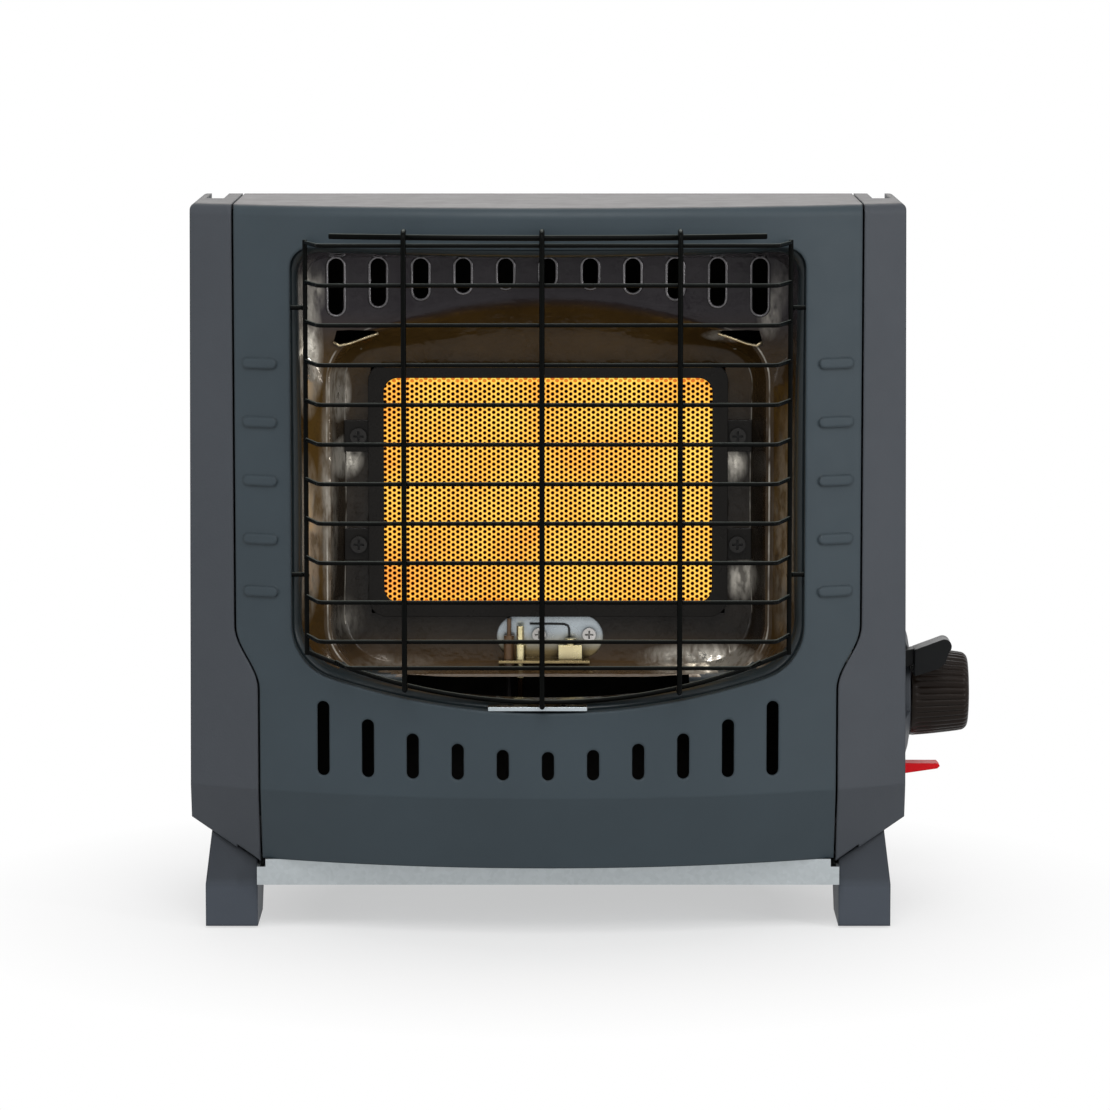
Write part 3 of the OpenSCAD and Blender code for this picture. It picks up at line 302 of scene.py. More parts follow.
PAINT = dict(rough_var=0.035, grain=1500, grain_bump=0.06, mottle=0.06, spec=0.28)
MOULDED = dict(rough_var=0.035, grain=1100, grain_bump=0.10, mottle=0.05, spec=0.28)
# Plated parts darken their inner corners as painted shade.
PLATED = dict(base=(0.46, 0.51, 0.54), rough=0.24, metallic=1.0, grain=500, mottle=0.2, edge=0.0003,
              corner_shade_reach=0.004)
FINISHES = {
    # Painted sheen: the top faces of the casing and panels get a warmer tint, lighter on the casing.
    "casing_paint": dict(PAINT, base=(0.0275, 0.0405, 0.0495), rough=0.48, edge=0.0016,
                         top_sheen=(0.052, 0.045, 0.043)),
    "panel_plastic": dict(MOULDED, base=(0.042, 0.048, 0.057), rough=0.52, edge=0.0014,
                          top_sheen=(0.048, 0.044, 0.043)),
    # Painted shade: the feet's upper part, under the body, is darkened by height.
    "foot_plastic": dict(MOULDED, base=(0.044, 0.053, 0.067), rough=0.52, edge=0.0014, mottle=0.06,
                         shade_by_height=[(0.0165, 1.0), (0.0175, 0.62), (0.04, 0.42)]),
    "rear_paint": dict(PAINT, base=(0.034, 0.042, 0.048), rough=0.5),
    "lid_plastic": dict(MOULDED, base=(0.042, 0.049, 0.056), rough=0.5, edge=0.001),
    "rubber": dict(base=(0.014, 0.014, 0.015), rough=0.8, grain=1800, grain_bump=0.15),
    "plated_steel": dict(PLATED, stretch=(1, 1, 12)),
    "handle_steel": dict(base=(0.42, 0.43, 0.44), rough=0.28, metallic=1.0, grain=600, grain_bump=0.04,
                         stretch=(12, 1, 1), edge=0),
    "grip_rubber": dict(base=(0.020, 0.021, 0.022), rough=0.7, grain=1500, grain_bump=0.15),
    # Painted highlight: the guard wires' upper sides get a lighter tint.
    "guard_enamel": dict(base=(0.002, 0.0023, 0.0021), rough=0.2, grain=700, grain_bump=0.04, edge=0,
                         spec=0.03, top_sheen=(0.105, 0.118, 0.108), steep=0.7, above=0.02),
    "burner_black": dict(base=(0.008, 0.007, 0.006), rough=0.3, grain_bump=0.08, spec=0.12),
    "fibre": dict(base=(0.66, 0.64, 0.58), rough=0.9, grain_bump=0.4),
    "burner_steel": dict(base=(0.24, 0.24, 0.245), rough=0.36, metallic=0.9, grain=600, stretch=(1, 1, 8)),
    # Painted shade in the brass parts' inner corners.
    "brass": dict(base=(0.86, 0.72, 0.42), rough=0.24, metallic=1.0, grain=800, grain_bump=0.06,
                  mottle=0.25, edge=0.0003, corner_shade_reach=0.004),
    # Painted shade: copper lower than 98 mm, seen through the gap under the bowl, is darkened nearly to black.
    "copper": dict(base=(0.58, 0.30, 0.15), rough=0.28, metallic=1.0, grain=800, grain_bump=0.04, edge=0,
                   shade_by_height=[(0.098, 0.03), (0.102, 1.0)]),
    "zinc_cast": dict(base=(0.40, 0.41, 0.40), rough=0.45, metallic=0.85, grain_bump=0.2),
    "knob_plastic": dict(base=(0.0105, 0.0065, 0.0045), rough=0.34, grain_bump=0.06, edge=0.0002, spec=0.12),
    "lever_plastic": dict(base=(0.0045, 0.005, 0.0055), rough=0.36, grain=1200, grain_bump=0.06,
                          edge=0.0008, spec=0.14),
    "red_plastic": dict(base=(0.66, 0.008, 0.014), rough=0.42, grain=700, grain_bump=0.03, mottle=0.06,
                        spec=0.1),
    "igniter_plastic": dict(base=(0.75, 0.73, 0.66), rough=0.5),
    "lead_sleeve": dict(base=(0.007, 0.006, 0.006), rough=0.6, grain=1500, grain_bump=0.1, edge=0, spec=0.12),
    "electrode_ceramic": dict(base=(0.115, 0.062, 0.028), rough=0.4, grain=1200, grain_bump=0.1, edge=0),
    # Painted shade in the screws' inner corners.
    "screw_zinc": dict(base=(0.56, 0.54, 0.52), rough=0.22, metallic=1.0, grain_bump=0.06, mottle=0.25,
                       edge=0.0002, corner_shade_reach=0.002),
    "screw_black": dict(base=(0.016, 0.015, 0.014), rough=0.22, metallic=0.35, spec=0.25, mottle=0.3,
                        edge=0.0002, corner_shade_reach=0.002),
    # Finishes of single nodes and of the pieces made here.
    # Partly painted shade: the bracket is tinted warm golden by height, with a darker band of painted shadow
    # across it.
    "pilot_plate": dict(PLATED, shade_by_height=[(0.1035, (0.75, 0.52, 0.25)), (0.1045, (0.30, 0.20, 0.085)),
                                      (0.1085, (0.62, 0.45, 0.22)), (0.1105, 1.0)]),
    # Painted shade: the heat shield behind the slots is made nearly black, so the slots look dark.
    "shade_dark_sheet": dict(base=(0.010, 0.009, 0.008), rough=0.7, grain_bump=0.1, mottle=0.3, spec=0.1),
    # Partly painted shade: the window's rolled lip in the casing's colour, made darker for the shade inside the
    # window.
    "shaded_lip_paint": dict(base=(0.011, 0.017, 0.020), rough=0.36, grain=1500, grain_bump=0.06, mottle=0.1,
                      edge=0, spec=0.3),
    "groove_shadow": dict(base=(0.03, 0.032, 0.033), rough=0.6, edge=0, spec=0.2),
    # Painted highlight: the slot rims are a lighter metal than the sheet, in place of light on their rolled
    # edges.
    "rim_highlight": dict(base=(0.10, 0.096, 0.10), rough=0.2, metallic=0.8, grain=500, grain_bump=0.1,
                      mottle=0.7, edge=0),
    # Painted reflection: the slits' lower lips are a bright warm metal, standing in for the tile's glow
    # reflected on them.
    "lip_glow_highlight": dict(base=(0.40, 0.33, 0.21), rough=0.25, metallic=0.9, grain=500, grain_bump=0.1,
                     mottle=0.6, edge=0),
    "pointer_paint": dict(base=(0.58, 0.57, 0.54), rough=0.5, grain=1200, grain_bump=0.08, mottle=0.08,
                          edge=0, spec=0.3),
}
MATS = {name: surface(name, **values) for name, values in FINISHES.items()}
MATS["galvanised"] = galvanised_finish()
MATS["reflector_steel"] = reflector_finish()
MATS["glowing_ceramic"] = glow_finish()
MATS["hole_wall"] = hole_finish("hole_wall", (0.05, 0.009, 0.001), 0.25)
MATS["hole_depth"] = hole_finish("hole_depth", (0.010, 0.002, 0.0008), 0.1)


def paint(node, finish):
    obj = NODES[node]
    if not obj.material_slots:
        obj.data.materials.append(MATS[finish])
    for slot in obj.material_slots:
        slot.material = MATS[finish]


for subpart in frame["record"]["subparts"]:
    paint(subpart["node"], subpart["material_slot"])
paint("pilot_bracket", "pilot_plate")
# The heat shield gets a nearly black finish as painted shade behind the slots.
paint("heat_shield", "shade_dark_sheet")


# Meshes

def piece(name, mesh, finishes, body, smooth=True):
    obj = bpy.data.objects.new(name, mesh)
    scene.collection.objects.link(obj)
    for finish in finishes:
        obj.data.materials.append(MATS[finish])
    if smooth:
        for face in obj.data.polygons:
            face.use_smooth = True
    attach(obj, body)
    return obj


def to_mesh(name, bm):
    mesh = bpy.data.meshes.new(name)
    bm.to_mesh(mesh)
    bm.free()
    return mesh


def closed_mesh(name, bm):
    """The bmesh as a mesh, with its faces turned outwards."""
    bmesh.ops.recalc_face_normals(bm, faces=bm.faces)
    return to_mesh(name, bm)


def bridge(bm, first, second, closed=True):
    """Make the faces between two rows of the same number of points."""
    n = len(first)
    return [bm.faces.new((first[k], first[(k + 1) % n], second[(k + 1) % n], second[k]))
            for k in range(n if closed else n - 1)]


def circle(x, z, radius, count):
    angles = [math.radians(360 / count * k) for k in range(count)]
    return [(x + radius * math.cos(a), z + radius * math.sin(a)) for a in angles]


def arc(x, z, radius, start, end, steps):
    angles = [math.radians(start + (end - start) * i / steps) for i in range(steps + 1)]
    return [(x + radius * math.cos(a), z + radius * math.sin(a)) for a in angles]


# The burner's tile

TILE_HALF_X = 63.0 * MM
TILE_BELOW, TILE_ABOVE = -42.4 * MM, 41.2 * MM
TILE_BORDER = 0.72 * MM
HEX_RADIUS = HOLE_PITCH / math.sqrt(3)


def add_box(bm, low, high):
    corners = [bm.verts.new((x, y, z)) for x in (low[0], high[0]) for y in (low[1], high[1])
               for z in (low[2], high[2])]
    for side in ((0, 1, 3, 2), (4, 6, 7, 5), (0, 4, 5, 1), (2, 3, 7, 6), (0, 2, 6, 4), (1, 5, 7, 3)):
        bm.faces.new([corners[i] for i in side])


def tile_mesh(low, high):
    """The tile: a field of blind holes, with a plain border round it and the block behind it."""
    bm = bmesh.new()
    y = low[1]
    corners = {}

    def corner(x, z):
        """A corner that neighbouring hexagons share."""
        key = (round(x * 1e6 / 20), round(z * 1e6 / 20))
        if key not in corners:
            corners[key] = bm.verts.new((x, y, z))
        return corners[key]

    columns = int(TILE_HALF_X / HOLE_COLUMN)
    rows = int((high[2] - low[2]) / 2 / HOLE_PITCH)
    heights = []
    for i in range(-columns, columns + 1):
        shift = 0.0 if i % 2 == 0 else HOLE_PITCH / 2
        for j in range(-rows, rows + 1):
            x, z = i * HOLE_COLUMN, PLAQUE_Z + j * HOLE_PITCH + shift
            if not TILE_BELOW < z - PLAQUE_Z < TILE_ABOVE:
                continue
            heights.append(z)
            hexagon = [corner(*p) for p in circle(x, z, HEX_RADIUS, 6)]
            rim = [bm.verts.new((px, y, pz)) for px, pz in circle(x, z, HOLE_RADIUS, 12)]
            foot = [bm.verts.new((px, y + HOLE_DEPTH, pz)) for px, pz in circle(x, z, HOLE_RADIUS * 0.92, 12)]
            for k in range(6):
                bm.faces.new((hexagon[k], hexagon[(k + 1) % 6],
                              rim[(2 * k + 2) % 12], rim[2 * k + 1], rim[2 * k]))
            for wall in bridge(bm, rim, foot):
                wall.material_index = 1
            bm.faces.new(foot).material_index = 2
    sides = bmesh.ops.extrude_edge_only(bm, edges=[e for e in bm.edges if e.is_boundary])["geom"]
    for part in sides:
        if isinstance(part, bmesh.types.BMVert):
            part.co.y = y + HOLE_DEPTH + 0.2 * MM
    back = [part for part in sides if isinstance(part, bmesh.types.BMEdge) and part.is_boundary]
    bmesh.ops.triangle_fill(bm, edges=back)
    bmesh.ops.recalc_face_normals(bm, faces=bm.faces)

    face, foot_y = y + 0.05 * MM, y + HOLE_DEPTH
    edge_x = columns * HOLE_COLUMN + TILE_BORDER
    low_edge, high_edge = min(heights) - TILE_BORDER, max(heights) + TILE_BORDER
    add_box(bm, (low[0], foot_y + 0.3 * MM, low[2]), high)
    for side, (z0, z1) in ((-1, (low[2], low_edge)), (1, (high_edge, high[2]))):
        x0, x1 = sorted((side * edge_x, side * high[0]))
        add_box(bm, (x0, face, low[2]), (x1, foot_y, high[2]))
        add_box(bm, (-edge_x, face, z0), (edge_x, foot_y, z1))
    return to_mesh("ceramic_tile", bm)


tile = piece("ceramic_tile", tile_mesh(*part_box("ceramic_plaque")),
             ("glowing_ceramic", "hole_wall", "hole_depth"), "body", smooth=False)
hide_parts("ceramic_plaque")


# The reflector: one pressed sheet. Lengths from here on are in mm.

MID_Z = 168.3
OPEN_X, OPEN_TOP, OPEN_LOW_R, OPEN_CZ = 97.0, 263.5, 300.0, 389.0
TOP_CORNER, LOW_CORNER = 8.0, 20.0
CORNER_X = OPEN_X - LOW_CORNER
CORNER_Z = OPEN_CZ - math.sqrt((OPEN_LOW_R - LOW_CORNER) ** 2 - CORNER_X ** 2)
TURN = math.degrees(math.atan2(OPEN_CZ - CORNER_Z, CORNER_X))
BOWL_X, BOWL_TOP, BOWL_LOW, BOWL_ARC, BOWL_R = 83.5, 243.0, 98.0, 190.0, 20.0
BOWL_KX = BOWL_X - BOWL_R
BOWL_CZ = BOWL_TOP - BOWL_ARC
BOWL_KZ = BOWL_CZ + math.sqrt((BOWL_ARC - BOWL_R) ** 2 - BOWL_KX ** 2)
BOWL_TURN = math.degrees(math.atan2(BOWL_KZ - BOWL_CZ, BOWL_KX))
BAND_Y, FLOOR_Y = -46.6, -33.6
SHEET = 0.7
BOW_Y, BOW_R, CASING_SHEET = 201.0, 280.0, 0.4
TILE_CUT_X, TILE_CUT_Z = 67.9, 47.9
PILOT_X, PILOT_Z, PILOT_HALF, PILOT_R = 0.7, 111.2, 12.1, 8.4


def opening_outline(offset):
    """The casing's window, grown by the offset."""
    x, z = OPEN_X - TOP_CORNER, OPEN_TOP - TOP_CORNER
    return (arc(x, z, TOP_CORNER + offset, 0, 90, 12)
            + arc(-x, z, TOP_CORNER + offset, 90, 180, 12)
            + arc(-CORNER_X, CORNER_Z, LOW_CORNER + offset, 180, 180 + TURN, 18)
            + arc(0, OPEN_CZ, OPEN_LOW_R + offset, 181 + TURN, 359 - TURN, 40)
            + arc(CORNER_X, CORNER_Z, LOW_CORNER + offset, 360 - TURN, 360, 18))


def bowl_outline():
    """The bowl's upper edge."""
    low = BOWL_LOW + BOWL_R
    return (arc(BOWL_KX, BOWL_KZ, BOWL_R, 0, BOWL_TURN, 16)
            + arc(0, BOWL_CZ, BOWL_ARC, BOWL_TURN + 1, 179 - BOWL_TURN, 40)
            + arc(-BOWL_KX, BOWL_KZ, BOWL_R, 180 - BOWL_TURN, 180, 16)
            + arc(-BOWL_KX, low, BOWL_R, 180, 270, 16)
            + arc(BOWL_KX, low, BOWL_R, 270, 360, 16))


OUTER, BOWL = opening_outline(0.55), bowl_outline()


def reach(outline, angle):
    """Distance from the burner's middle to the outline along the angle."""
    dx, dz = math.cos(angle), math.sin(angle)
    best = 0.0
    for (x0, z0), (x1, z1) in zip(outline, outline[1:] + outline[:1]):
        ex, ez = x1 - x0, z1 - z0
        det = dx * ez - dz * ex
        if abs(det) < 1e-9:
            continue
        px, pz = x0, z0 - MID_Z
        along = (px * ez - pz * ex) / det
        share = (px * dz - pz * dx) / det
        if along > best and -1e-6 <= share <= 1 + 1e-6:
            best = along
    return best


def step(low, high, value):
    """A smooth rise from 0 at low to 1 at high."""
    t = min(1.0, max(0.0, (value - low) / (high - low)))
    return t * t * (3 - 2 * t)


def bow(x):
    """Depth of the casing's bowed front just behind its sheet."""
    return BOW_Y - math.sqrt(BOW_R ** 2 - x * x) + CASING_SHEET


def dish_row(angle):
    """The pressed sheet's section along the angle: distances from the burner's middle, and depths."""
    dx, dz = math.cos(angle), math.sin(angle)
    lift = math.degrees(math.asin(dz))
    flat, long, low = step(24, 35, lift), step(30, 60, lift), step(30, 60, -lift)
    ro, rb = reach(OUTER, angle), reach(BOWL, angle)
    y0 = bow(ro * dx)
    t = 0.5 * (1 - flat) + 0.10 * flat
    y_mid = (y0 + 6 + BAND_Y) / 2 * (1 - flat) - 47.2 * flat
    deep = 7.0 * (1 - long) + 19.0 * long - 2.8 * low
    return [(ro, y0), (ro - 1.4, y0 - 0.3), (ro - 2.9, y0 + 0.5), (ro - 3.8, y0 + 2.2), (ro - 4.2, y0 + 4.8),
            (ro - 4.6 - t * (ro - 4.6 - rb - 2.5), y_mid), (rb + 2.5, -46.75), (rb + 0.8, BAND_Y),
            (rb - 0.5, -45.9), (rb - 0.16 * deep, -43.6), (rb - 0.42 * deep, -39.6), (rb - 0.7 * deep, -35.6),
            (rb - 0.86 * deep, -34.1), (rb - deep, FLOOR_Y)]


def dish_y(x, z):
    """Depth of the pressed sheet at a point seen from the front."""
    r = math.hypot(x, z - MID_Z)
    row = dish_row(math.atan2(z - MID_Z, x))
    for (r0, y0), (r1, y1) in zip(row, row[1:]):
        if r1 <= r <= r0:
            return y0 + (y1 - y0) * (r0 - r) / (r0 - r1)
    return row[-1][1] if r < row[-1][0] else row[0][1]


def reflector_mesh(around=300):
    """The front of the sheet, from the window's lip to the bowl's floor with its two cut-outs."""
    bm = bmesh.new()
    rows = []
    for k in range(around):
        angle = 2 * math.pi * k / around
        dx, dz = math.cos(angle), math.sin(angle)
        rows.append([bm.verts.new((r * dx * MM, y * MM, (MID_Z + r * dz) * MM)) for r, y in dish_row(angle)])
    inner = []
    for row, following in zip(rows, rows[1:] + rows[:1]):
        bridge(bm, row, following, closed=False)
        inner.append(bm.edges.get((row[-1], following[-1])))

    def loop(points):
        ends = [bm.verts.new((x * MM, FLOOR_Y * MM, z * MM)) for x, z in points]
        return [bm.edges.new(pair) for pair in zip(ends, ends[1:] + ends[:1])]

    x, low, high = TILE_CUT_X, MID_Z - TILE_CUT_Z, MID_Z + TILE_CUT_Z
    tile_cut = loop([(x, high), (-x, high), (-x, low), (x, low)])
    pilot_cut = loop(arc(PILOT_X + PILOT_HALF, PILOT_Z, PILOT_R, -90, 90, 16)
                     + arc(PILOT_X - PILOT_HALF, PILOT_Z, PILOT_R, 90, 270, 16))
    bmesh.ops.triangle_fill(bm, edges=inner + tile_cut + pilot_cut, use_beauty=True, normal=(0, -1, 0))
    return closed_mesh("pressed_reflector", bm)


def pill(x, low, high, radius):
    """An upright slot's outline."""
    return arc(x, high - radius, radius, 0, 180, 14) + arc(x, low + radius, radius, 180, 360, 14)


def prism(points, front, back):
    """A cutter from the depth front(x) to the depth back."""
    bm = bmesh.new()
    near = [bm.verts.new((x * MM, front(x) * MM, z * MM)) for x, z in points]
    far = [bm.verts.new((x * MM, back * MM, z * MM)) for x, z in points]
    bm.faces.new(near)
    bm.faces.new(far[::-1])
    bridge(bm, near, far)
    return closed_mesh("cutter", bm)


def join_meshes(name, meshes):
    bm = bmesh.new()
    for mesh in meshes:
        bm.from_mesh(mesh)
        bpy.data.meshes.remove(mesh)
    return to_mesh(name, bm)


def sheet_with_cuts(mesh, cutters):
    """The mesh thickened to a sheet, with the cutters taken out, as a new mesh."""
    work = bpy.data.objects.new("work", mesh)
    tool = bpy.data.objects.new("tool", join_meshes("tool", cutters))
    for obj in (work, tool):
        scene.collection.objects.link(obj)
    thicken = work.modifiers.new("sheet", "SOLIDIFY")
    thicken.thickness = SHEET * MM
    thicken.offset = -1.0
    cut = work.modifiers.new("cut", "BOOLEAN")
    cut.object = tool
    cut.operation = "DIFFERENCE"
    cut.solver = "EXACT"
    depsgraph = bpy.context.evaluated_depsgraph_get()
    result = bpy.data.meshes.new_from_object(work.evaluated_get(depsgraph))
    for obj in (work, tool):
        bpy.data.objects.remove(obj)
    return result


# Slots of the upper band: middle x, lower end, upper end.
SLOTS = [(16.1 * i, 247.5 - 11 * (abs(i) / 5) ** 1.6, 257.8) for i in range(-5, 6)]
# Slits beside the bowl's arch: the lower lip and the upper edge, for the right side.
LIP = ((81.4, 226.4), (79.3, 225.0), (75.8, 225.6), (72.3, 226.7), (68.8, 227.9), (64.6, 229.4))
SLIT_TOP = ((66.3, 230.3), (70.8, 230.5), (75.8, 230.6), (80.3, 230.4))
# The gap below the bowl, between the window's lip and the bowl's lower edge.
GAP_X = range(-54, 55, 6)
GAP_LOW = [(x, OPEN_CZ - math.sqrt(298.6 ** 2 - x * x)) for x in GAP_X]
GAP_HIGH = [(x, 97.5 + max(0.0, abs(x) - 40) * 0.064) for x in reversed(GAP_X)]

CUT_FROM = -52


def ahead_of_band(x):
    return CUT_FROM


def below_lip(x):
    return bow(x) + 5.3


cutters = [prism(pill(x, low, high, 2.85), ahead_of_band, -40) for x, low, high in SLOTS]
cutters.append(prism(GAP_LOW + GAP_HIGH, below_lip, -44.6))
for side in (-1, 1):
    cutters.append(prism([(side * x, z) for x, z in LIP + SLIT_TOP], ahead_of_band, -36))
dish = piece("pressed_reflector", sheet_with_cuts(reflector_mesh(), cutters),
             ("reflector_steel", "shaded_lip_paint"), "body")

# The lip round the window takes the darker casing colour, which is partly painted shade.
PAINTED_LIP = 4.25
for face in dish.data.polygons:
    x, z = face.center.x / MM, face.center.z / MM - MID_Z
    if math.hypot(x, z) > reach(OUTER, math.atan2(z, x)) - PAINTED_LIP:
        face.material_index = 1
dish.data.set_sharp_from_angle(angle=math.radians(38))

# Painted highlight lines run along the bowl's edge and the foot of its wall, at its sides.
HIGHLIGHT_LINES, HIGHLIGHT_FROM_X = (0.8, -6.02), 66
edges = dish.data.color_attributes.new("edges", "FLOAT_COLOR", "POINT")
for vertex, mark in zip(dish.data.vertices, edges.data):
    x, z = vertex.co.x / MM, vertex.co.z / MM - MID_Z
    past = math.hypot(x, z) - reach(BOWL, math.atan2(z, x))
    bright = abs(x) > HIGHLIGHT_FROM_X and any(abs(past - line) < 0.1 for line in HIGHLIGHT_LINES)
    mark.color = (1, 1, 1, 1) if bright else (0, 0, 0, 1)
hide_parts("reflector")


def bead_mesh(name, path, radius, closed=True, sides=8):
    """A round bead along a path of points."""
    bm = bmesh.new()
    points = [Vector(p) for p in path]
    last = len(points) - 1
    rings = []
    for i, point in enumerate(points):
        if closed:
            along = points[(i + 1) % len(points)] - points[i - 1]
        else:
            along = points[min(i + 1, last)] - points[max(i - 1, 0)]
        along.normalize()
        u = along.cross(Vector((0, 1, 0))).normalized()
        v = u.cross(along)
        turns = [2 * math.pi * k / sides for k in range(sides)]
        rings.append([bm.verts.new((point + (u * math.cos(a) + v * math.sin(a)) * radius) * MM) for a in turns])
    for ring, following in zip(rings, rings[1:]):
        bridge(bm, ring, following)
    if closed:
        bridge(bm, rings[-1], rings[0])
    else:
        bm.faces.new(rings[0])
        bm.faces.new(rings[-1][::-1])
    return closed_mesh(name, bm)


bracket_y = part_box("pilot_screws")[0][1] / MM + 1.75
GROOVE = ((-7, 116.2), (2, 116.1), (6.2, 116.0), (7.6, 115.4), (8.1, 114.2), (8.2, 109.5))
groove = bead_mesh("bracket_groove", [(x, bracket_y, z) for x, z in GROOVE], 0.42, closed=False)
piece("bracket_groove", groove, ("groove_shadow",), "body")

beads = []
for x, low, high in SLOTS:
    beads.append(bead_mesh("bead", [(px, -46.9, pz) for px, pz in pill(x, low - 0.5, high + 0.5, 3.35)], 0.62))
for side in (-1, 1):
    path = [(side * x, dish_y(side * x, z) - 0.7, z - 0.3) for x, z in LIP]
    beads.append(bead_mesh("bead", path, 0.6, closed=False))
rims = piece("slot_rims", join_meshes("slot_rims", beads), ("rim_highlight", "lip_glow_highlight"), "body")
# The slits' lower lips take the painted warm reflection.
LIPS_BELOW = 0.233
for face in rims.data.polygons:
    if face.center.z < LIPS_BELOW:
        face.material_index = 1


# The knob: tapered, with ribs along its whole length, a ridge and a painted pointer

KNOB_Y, KNOB_Z = 55.0, 77.0
KNOB_FOOT_R, KNOB_TIP_R = 17.7, 15.9
RIDGE_ANGLE = 160


def knob_profile(length):
    """Distances along the axis, radii, and how far the ribs stand out."""
    foot, tip = KNOB_FOOT_R, KNOB_TIP_R
    profile = [(0.0, foot - 0.7, 0.0), (0.0, foot, 0.0), (1.2, foot + 0.15, 0.0), (1.8, foot + 0.05, 0.6)]
    for i in range(1, 13):
        t = i / 12
        profile.append((1.8 + t * (length - 5.4), foot + (tip - foot) * t ** 1.3, 1.0))
    for i in range(8):
        a = math.radians(90 * i / 7)
        profile.append((length - 3.2 + 3.2 * math.sin(a), tip - 3.0 + 3.0 * math.cos(a) - 0.12,
                        1.0 - i / 7 if i < 5 else 0.0))
    return profile + [(length - 0.5, tip - 4.2, 0.0), (length - 0.5, 0.0, 0.0)]


def knob_mesh(x0, length, ribs=40, around=480):
    bm = bmesh.new()
    rows = []
    for x, r, rib in knob_profile(length):
        row = []
        for k in range(around):
            a = 2 * math.pi * k / around
            wave = abs(math.cos(ribs * a / 2)) ** 0.7 - 1.0
            off = (a - math.radians(RIDGE_ANGLE)) * r / 0.9
            ridge = 0.55 * math.exp(-(off ** 2)) if r > 1 else 0.0
            out = max(0.01, r + rib * (0.55 * wave + ridge))
            row.append(bm.verts.new(((x0 + x) * MM, (KNOB_Y + out * math.cos(a)) * MM,
                                     (KNOB_Z + out * math.sin(a)) * MM)))
        rows.append(row)
    for row, following in zip(rows, rows[1:]):
        bridge(bm, row, following)
    bm.faces.new(rows[0][::-1])
    bmesh.ops.remove_doubles(bm, verts=bm.verts, dist=2e-5)
    return closed_mesh("ribbed_knob", bm)


def pointer_mesh(x0, x1, r0, r1, half, chamfer=0.12):
    """A flat mark with round ends on the knob's face, in line with its ridge, from the radius r0 to r1."""
    turn = math.radians(RIDGE_ANGLE)
    outline = arc(r1 - half, 0, half, -90, 90, 8) + arc(r0 + half, 0, half, 90, 270, 8)
    bm = bmesh.new()
    rings = []
    for x, k in ((x0, 1.0), (x1 - chamfer, 1.0), (x1, 1 - chamfer / half)):
        ring = []
        for r, aside in outline:
            mid = min(max(r, r0 + half), r1 - half)
            r, aside = mid + (r - mid) * k, aside * k
            ring.append(bm.verts.new((x * MM, (KNOB_Y + r * math.cos(turn) - aside * math.sin(turn)) * MM,
                                      (KNOB_Z + r * math.sin(turn) + aside * math.cos(turn)) * MM)))
        rings.append(ring)
    for ring, following in zip(rings, rings[1:]):
        bridge(bm, ring, following)
    bm.faces.new(rings[0][::-1])
    bm.faces.new(rings[-1])
    return closed_mesh("knob_pointer", bm)


knob_low, knob_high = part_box("control_knob")
knob_foot, knob_face = knob_low[0] / MM, knob_high[0] / MM
knob = piece("ribbed_knob", knob_mesh(knob_foot, (knob_high[0] - knob_low[0]) / MM), ("knob_plastic",),
             "knob")
knob.data.set_sharp_from_angle(angle=math.radians(50))
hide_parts("control_knob")
piece("knob_pointer", pointer_mesh(knob_face - 0.8, knob_face - 0.05, 4.0, 11.2, 0.7), ("pointer_paint",),
      "knob", smooth=False)


# Stage, light and camera, in metres

scene.view_settings.view_transform = "Standard"
WHITE = (1, 1, 1, 1)


def seen_directly(sh):
    """1 for rays from the camera, and for those that mirrors and glass send on."""
    path = sh.add("LightPath").outputs
    direct = sh.math("MAXIMUM", path["Is Camera Ray"], path["Is Glossy Ray"])
    return sh.math("MAXIMUM", direct, path["Is Transmission Ray"])


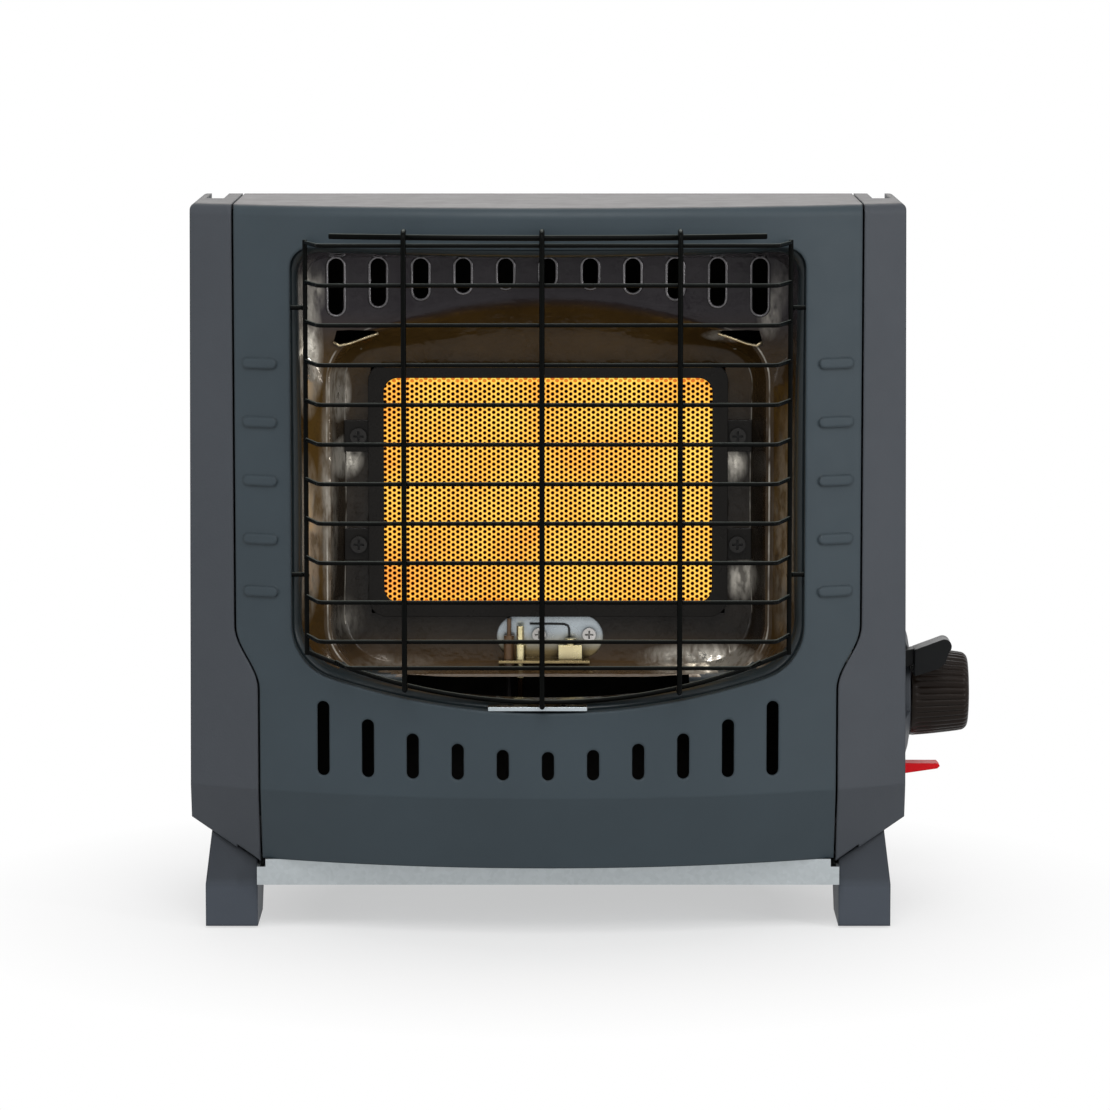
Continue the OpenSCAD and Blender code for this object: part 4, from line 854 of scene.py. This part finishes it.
def floor_finish():
    """A pale floor that is white to the camera, but near the object keeps part of its shadow."""
    made, sh = new_material("floor_white")
    coord = sh.coord()
    pale = sh.ramp(sh.noise(coord, 6.0), [(0.3, 0.78), (0.7, 0.82)])
    matt = sh.add("BsdfPrincipled", {"Base Color": pale, "Roughness": 0.9}).outputs["BSDF"]
    white = sh.add("Emission", {"Color": WHITE, "Strength": 1.0}).outputs["Emission"]
    away = sh.ramp(sh.vector("LENGTH", coord), [(0.09, 0.48), (0.25, 1.0)])
    share = sh.math("MULTIPLY", away, seen_directly(sh))
    blend = sh.add("MixShader", {0: share, 1: matt, 2: white}).outputs["Shader"]
    sh.add("OutputMaterial", {"Surface": blend})
    return made


floor_bm = bmesh.new()
bmesh.ops.create_grid(floor_bm, x_segments=1, y_segments=1, size=6.0)
floor = bpy.data.objects.new("floor", to_mesh("floor", floor_bm))
scene.collection.objects.link(floor)
floor.data.materials.append(floor_finish())

scene.world = bpy.data.worlds.new("studio")
scene.world.use_nodes = True
sky = Shader(scene.world.node_tree)
level = sky.add("MapRange", {"Value": seen_directly(sky), "To Min": 0.45, "To Max": 1.0}).outputs["Result"]
backdrop = sky.add("Background", {"Color": WHITE, "Strength": level}).outputs["Background"]
sky.add("OutputWorld", {"Surface": backdrop})


def area_light(name, place, target, width, height, power):
    lamp = bpy.data.lights.new(name, "AREA")
    lamp.energy = power
    lamp.shape = "RECTANGLE"
    lamp.size = width
    lamp.size_y = height
    obj = bpy.data.objects.new(name, lamp)
    obj.location = place
    obj.rotation_euler = (Vector(target) - Vector(place)).to_track_quat("-Z", "Y").to_euler()
    scene.collection.objects.link(obj)


area_light("key_top", (0.0, -1.5, 1.7), (0, -0.05, 0.15), 1.2, 1.2, 26.0)
area_light("soft_left", (-1.5, -1.3, 0.7), (0, 0, 0.15), 0.16, 1.2, 3.0)
area_light("soft_right", (1.5, -1.3, 0.7), (0, 0, 0.15), 0.16, 1.2, 11.0)
area_light("soft_back", (0.0, 1.6, 1.3), (0, 0.05, 0.12), 1.2, 1.2, 7.5)

CAMERA_PLACE = (0.00265, -2.052, 0.3907)
LOOKS_DOWN = 7
lens = bpy.data.cameras.new("camera")
lens.lens = 171.6
lens.sensor_width = 36.0
lens.clip_end = 30.0
camera = bpy.data.objects.new("camera", lens)
camera.location = CAMERA_PLACE
camera.rotation_euler = (math.radians(90 - LOOKS_DOWN), 0, 0)
scene.collection.objects.link(camera)
scene.camera = camera
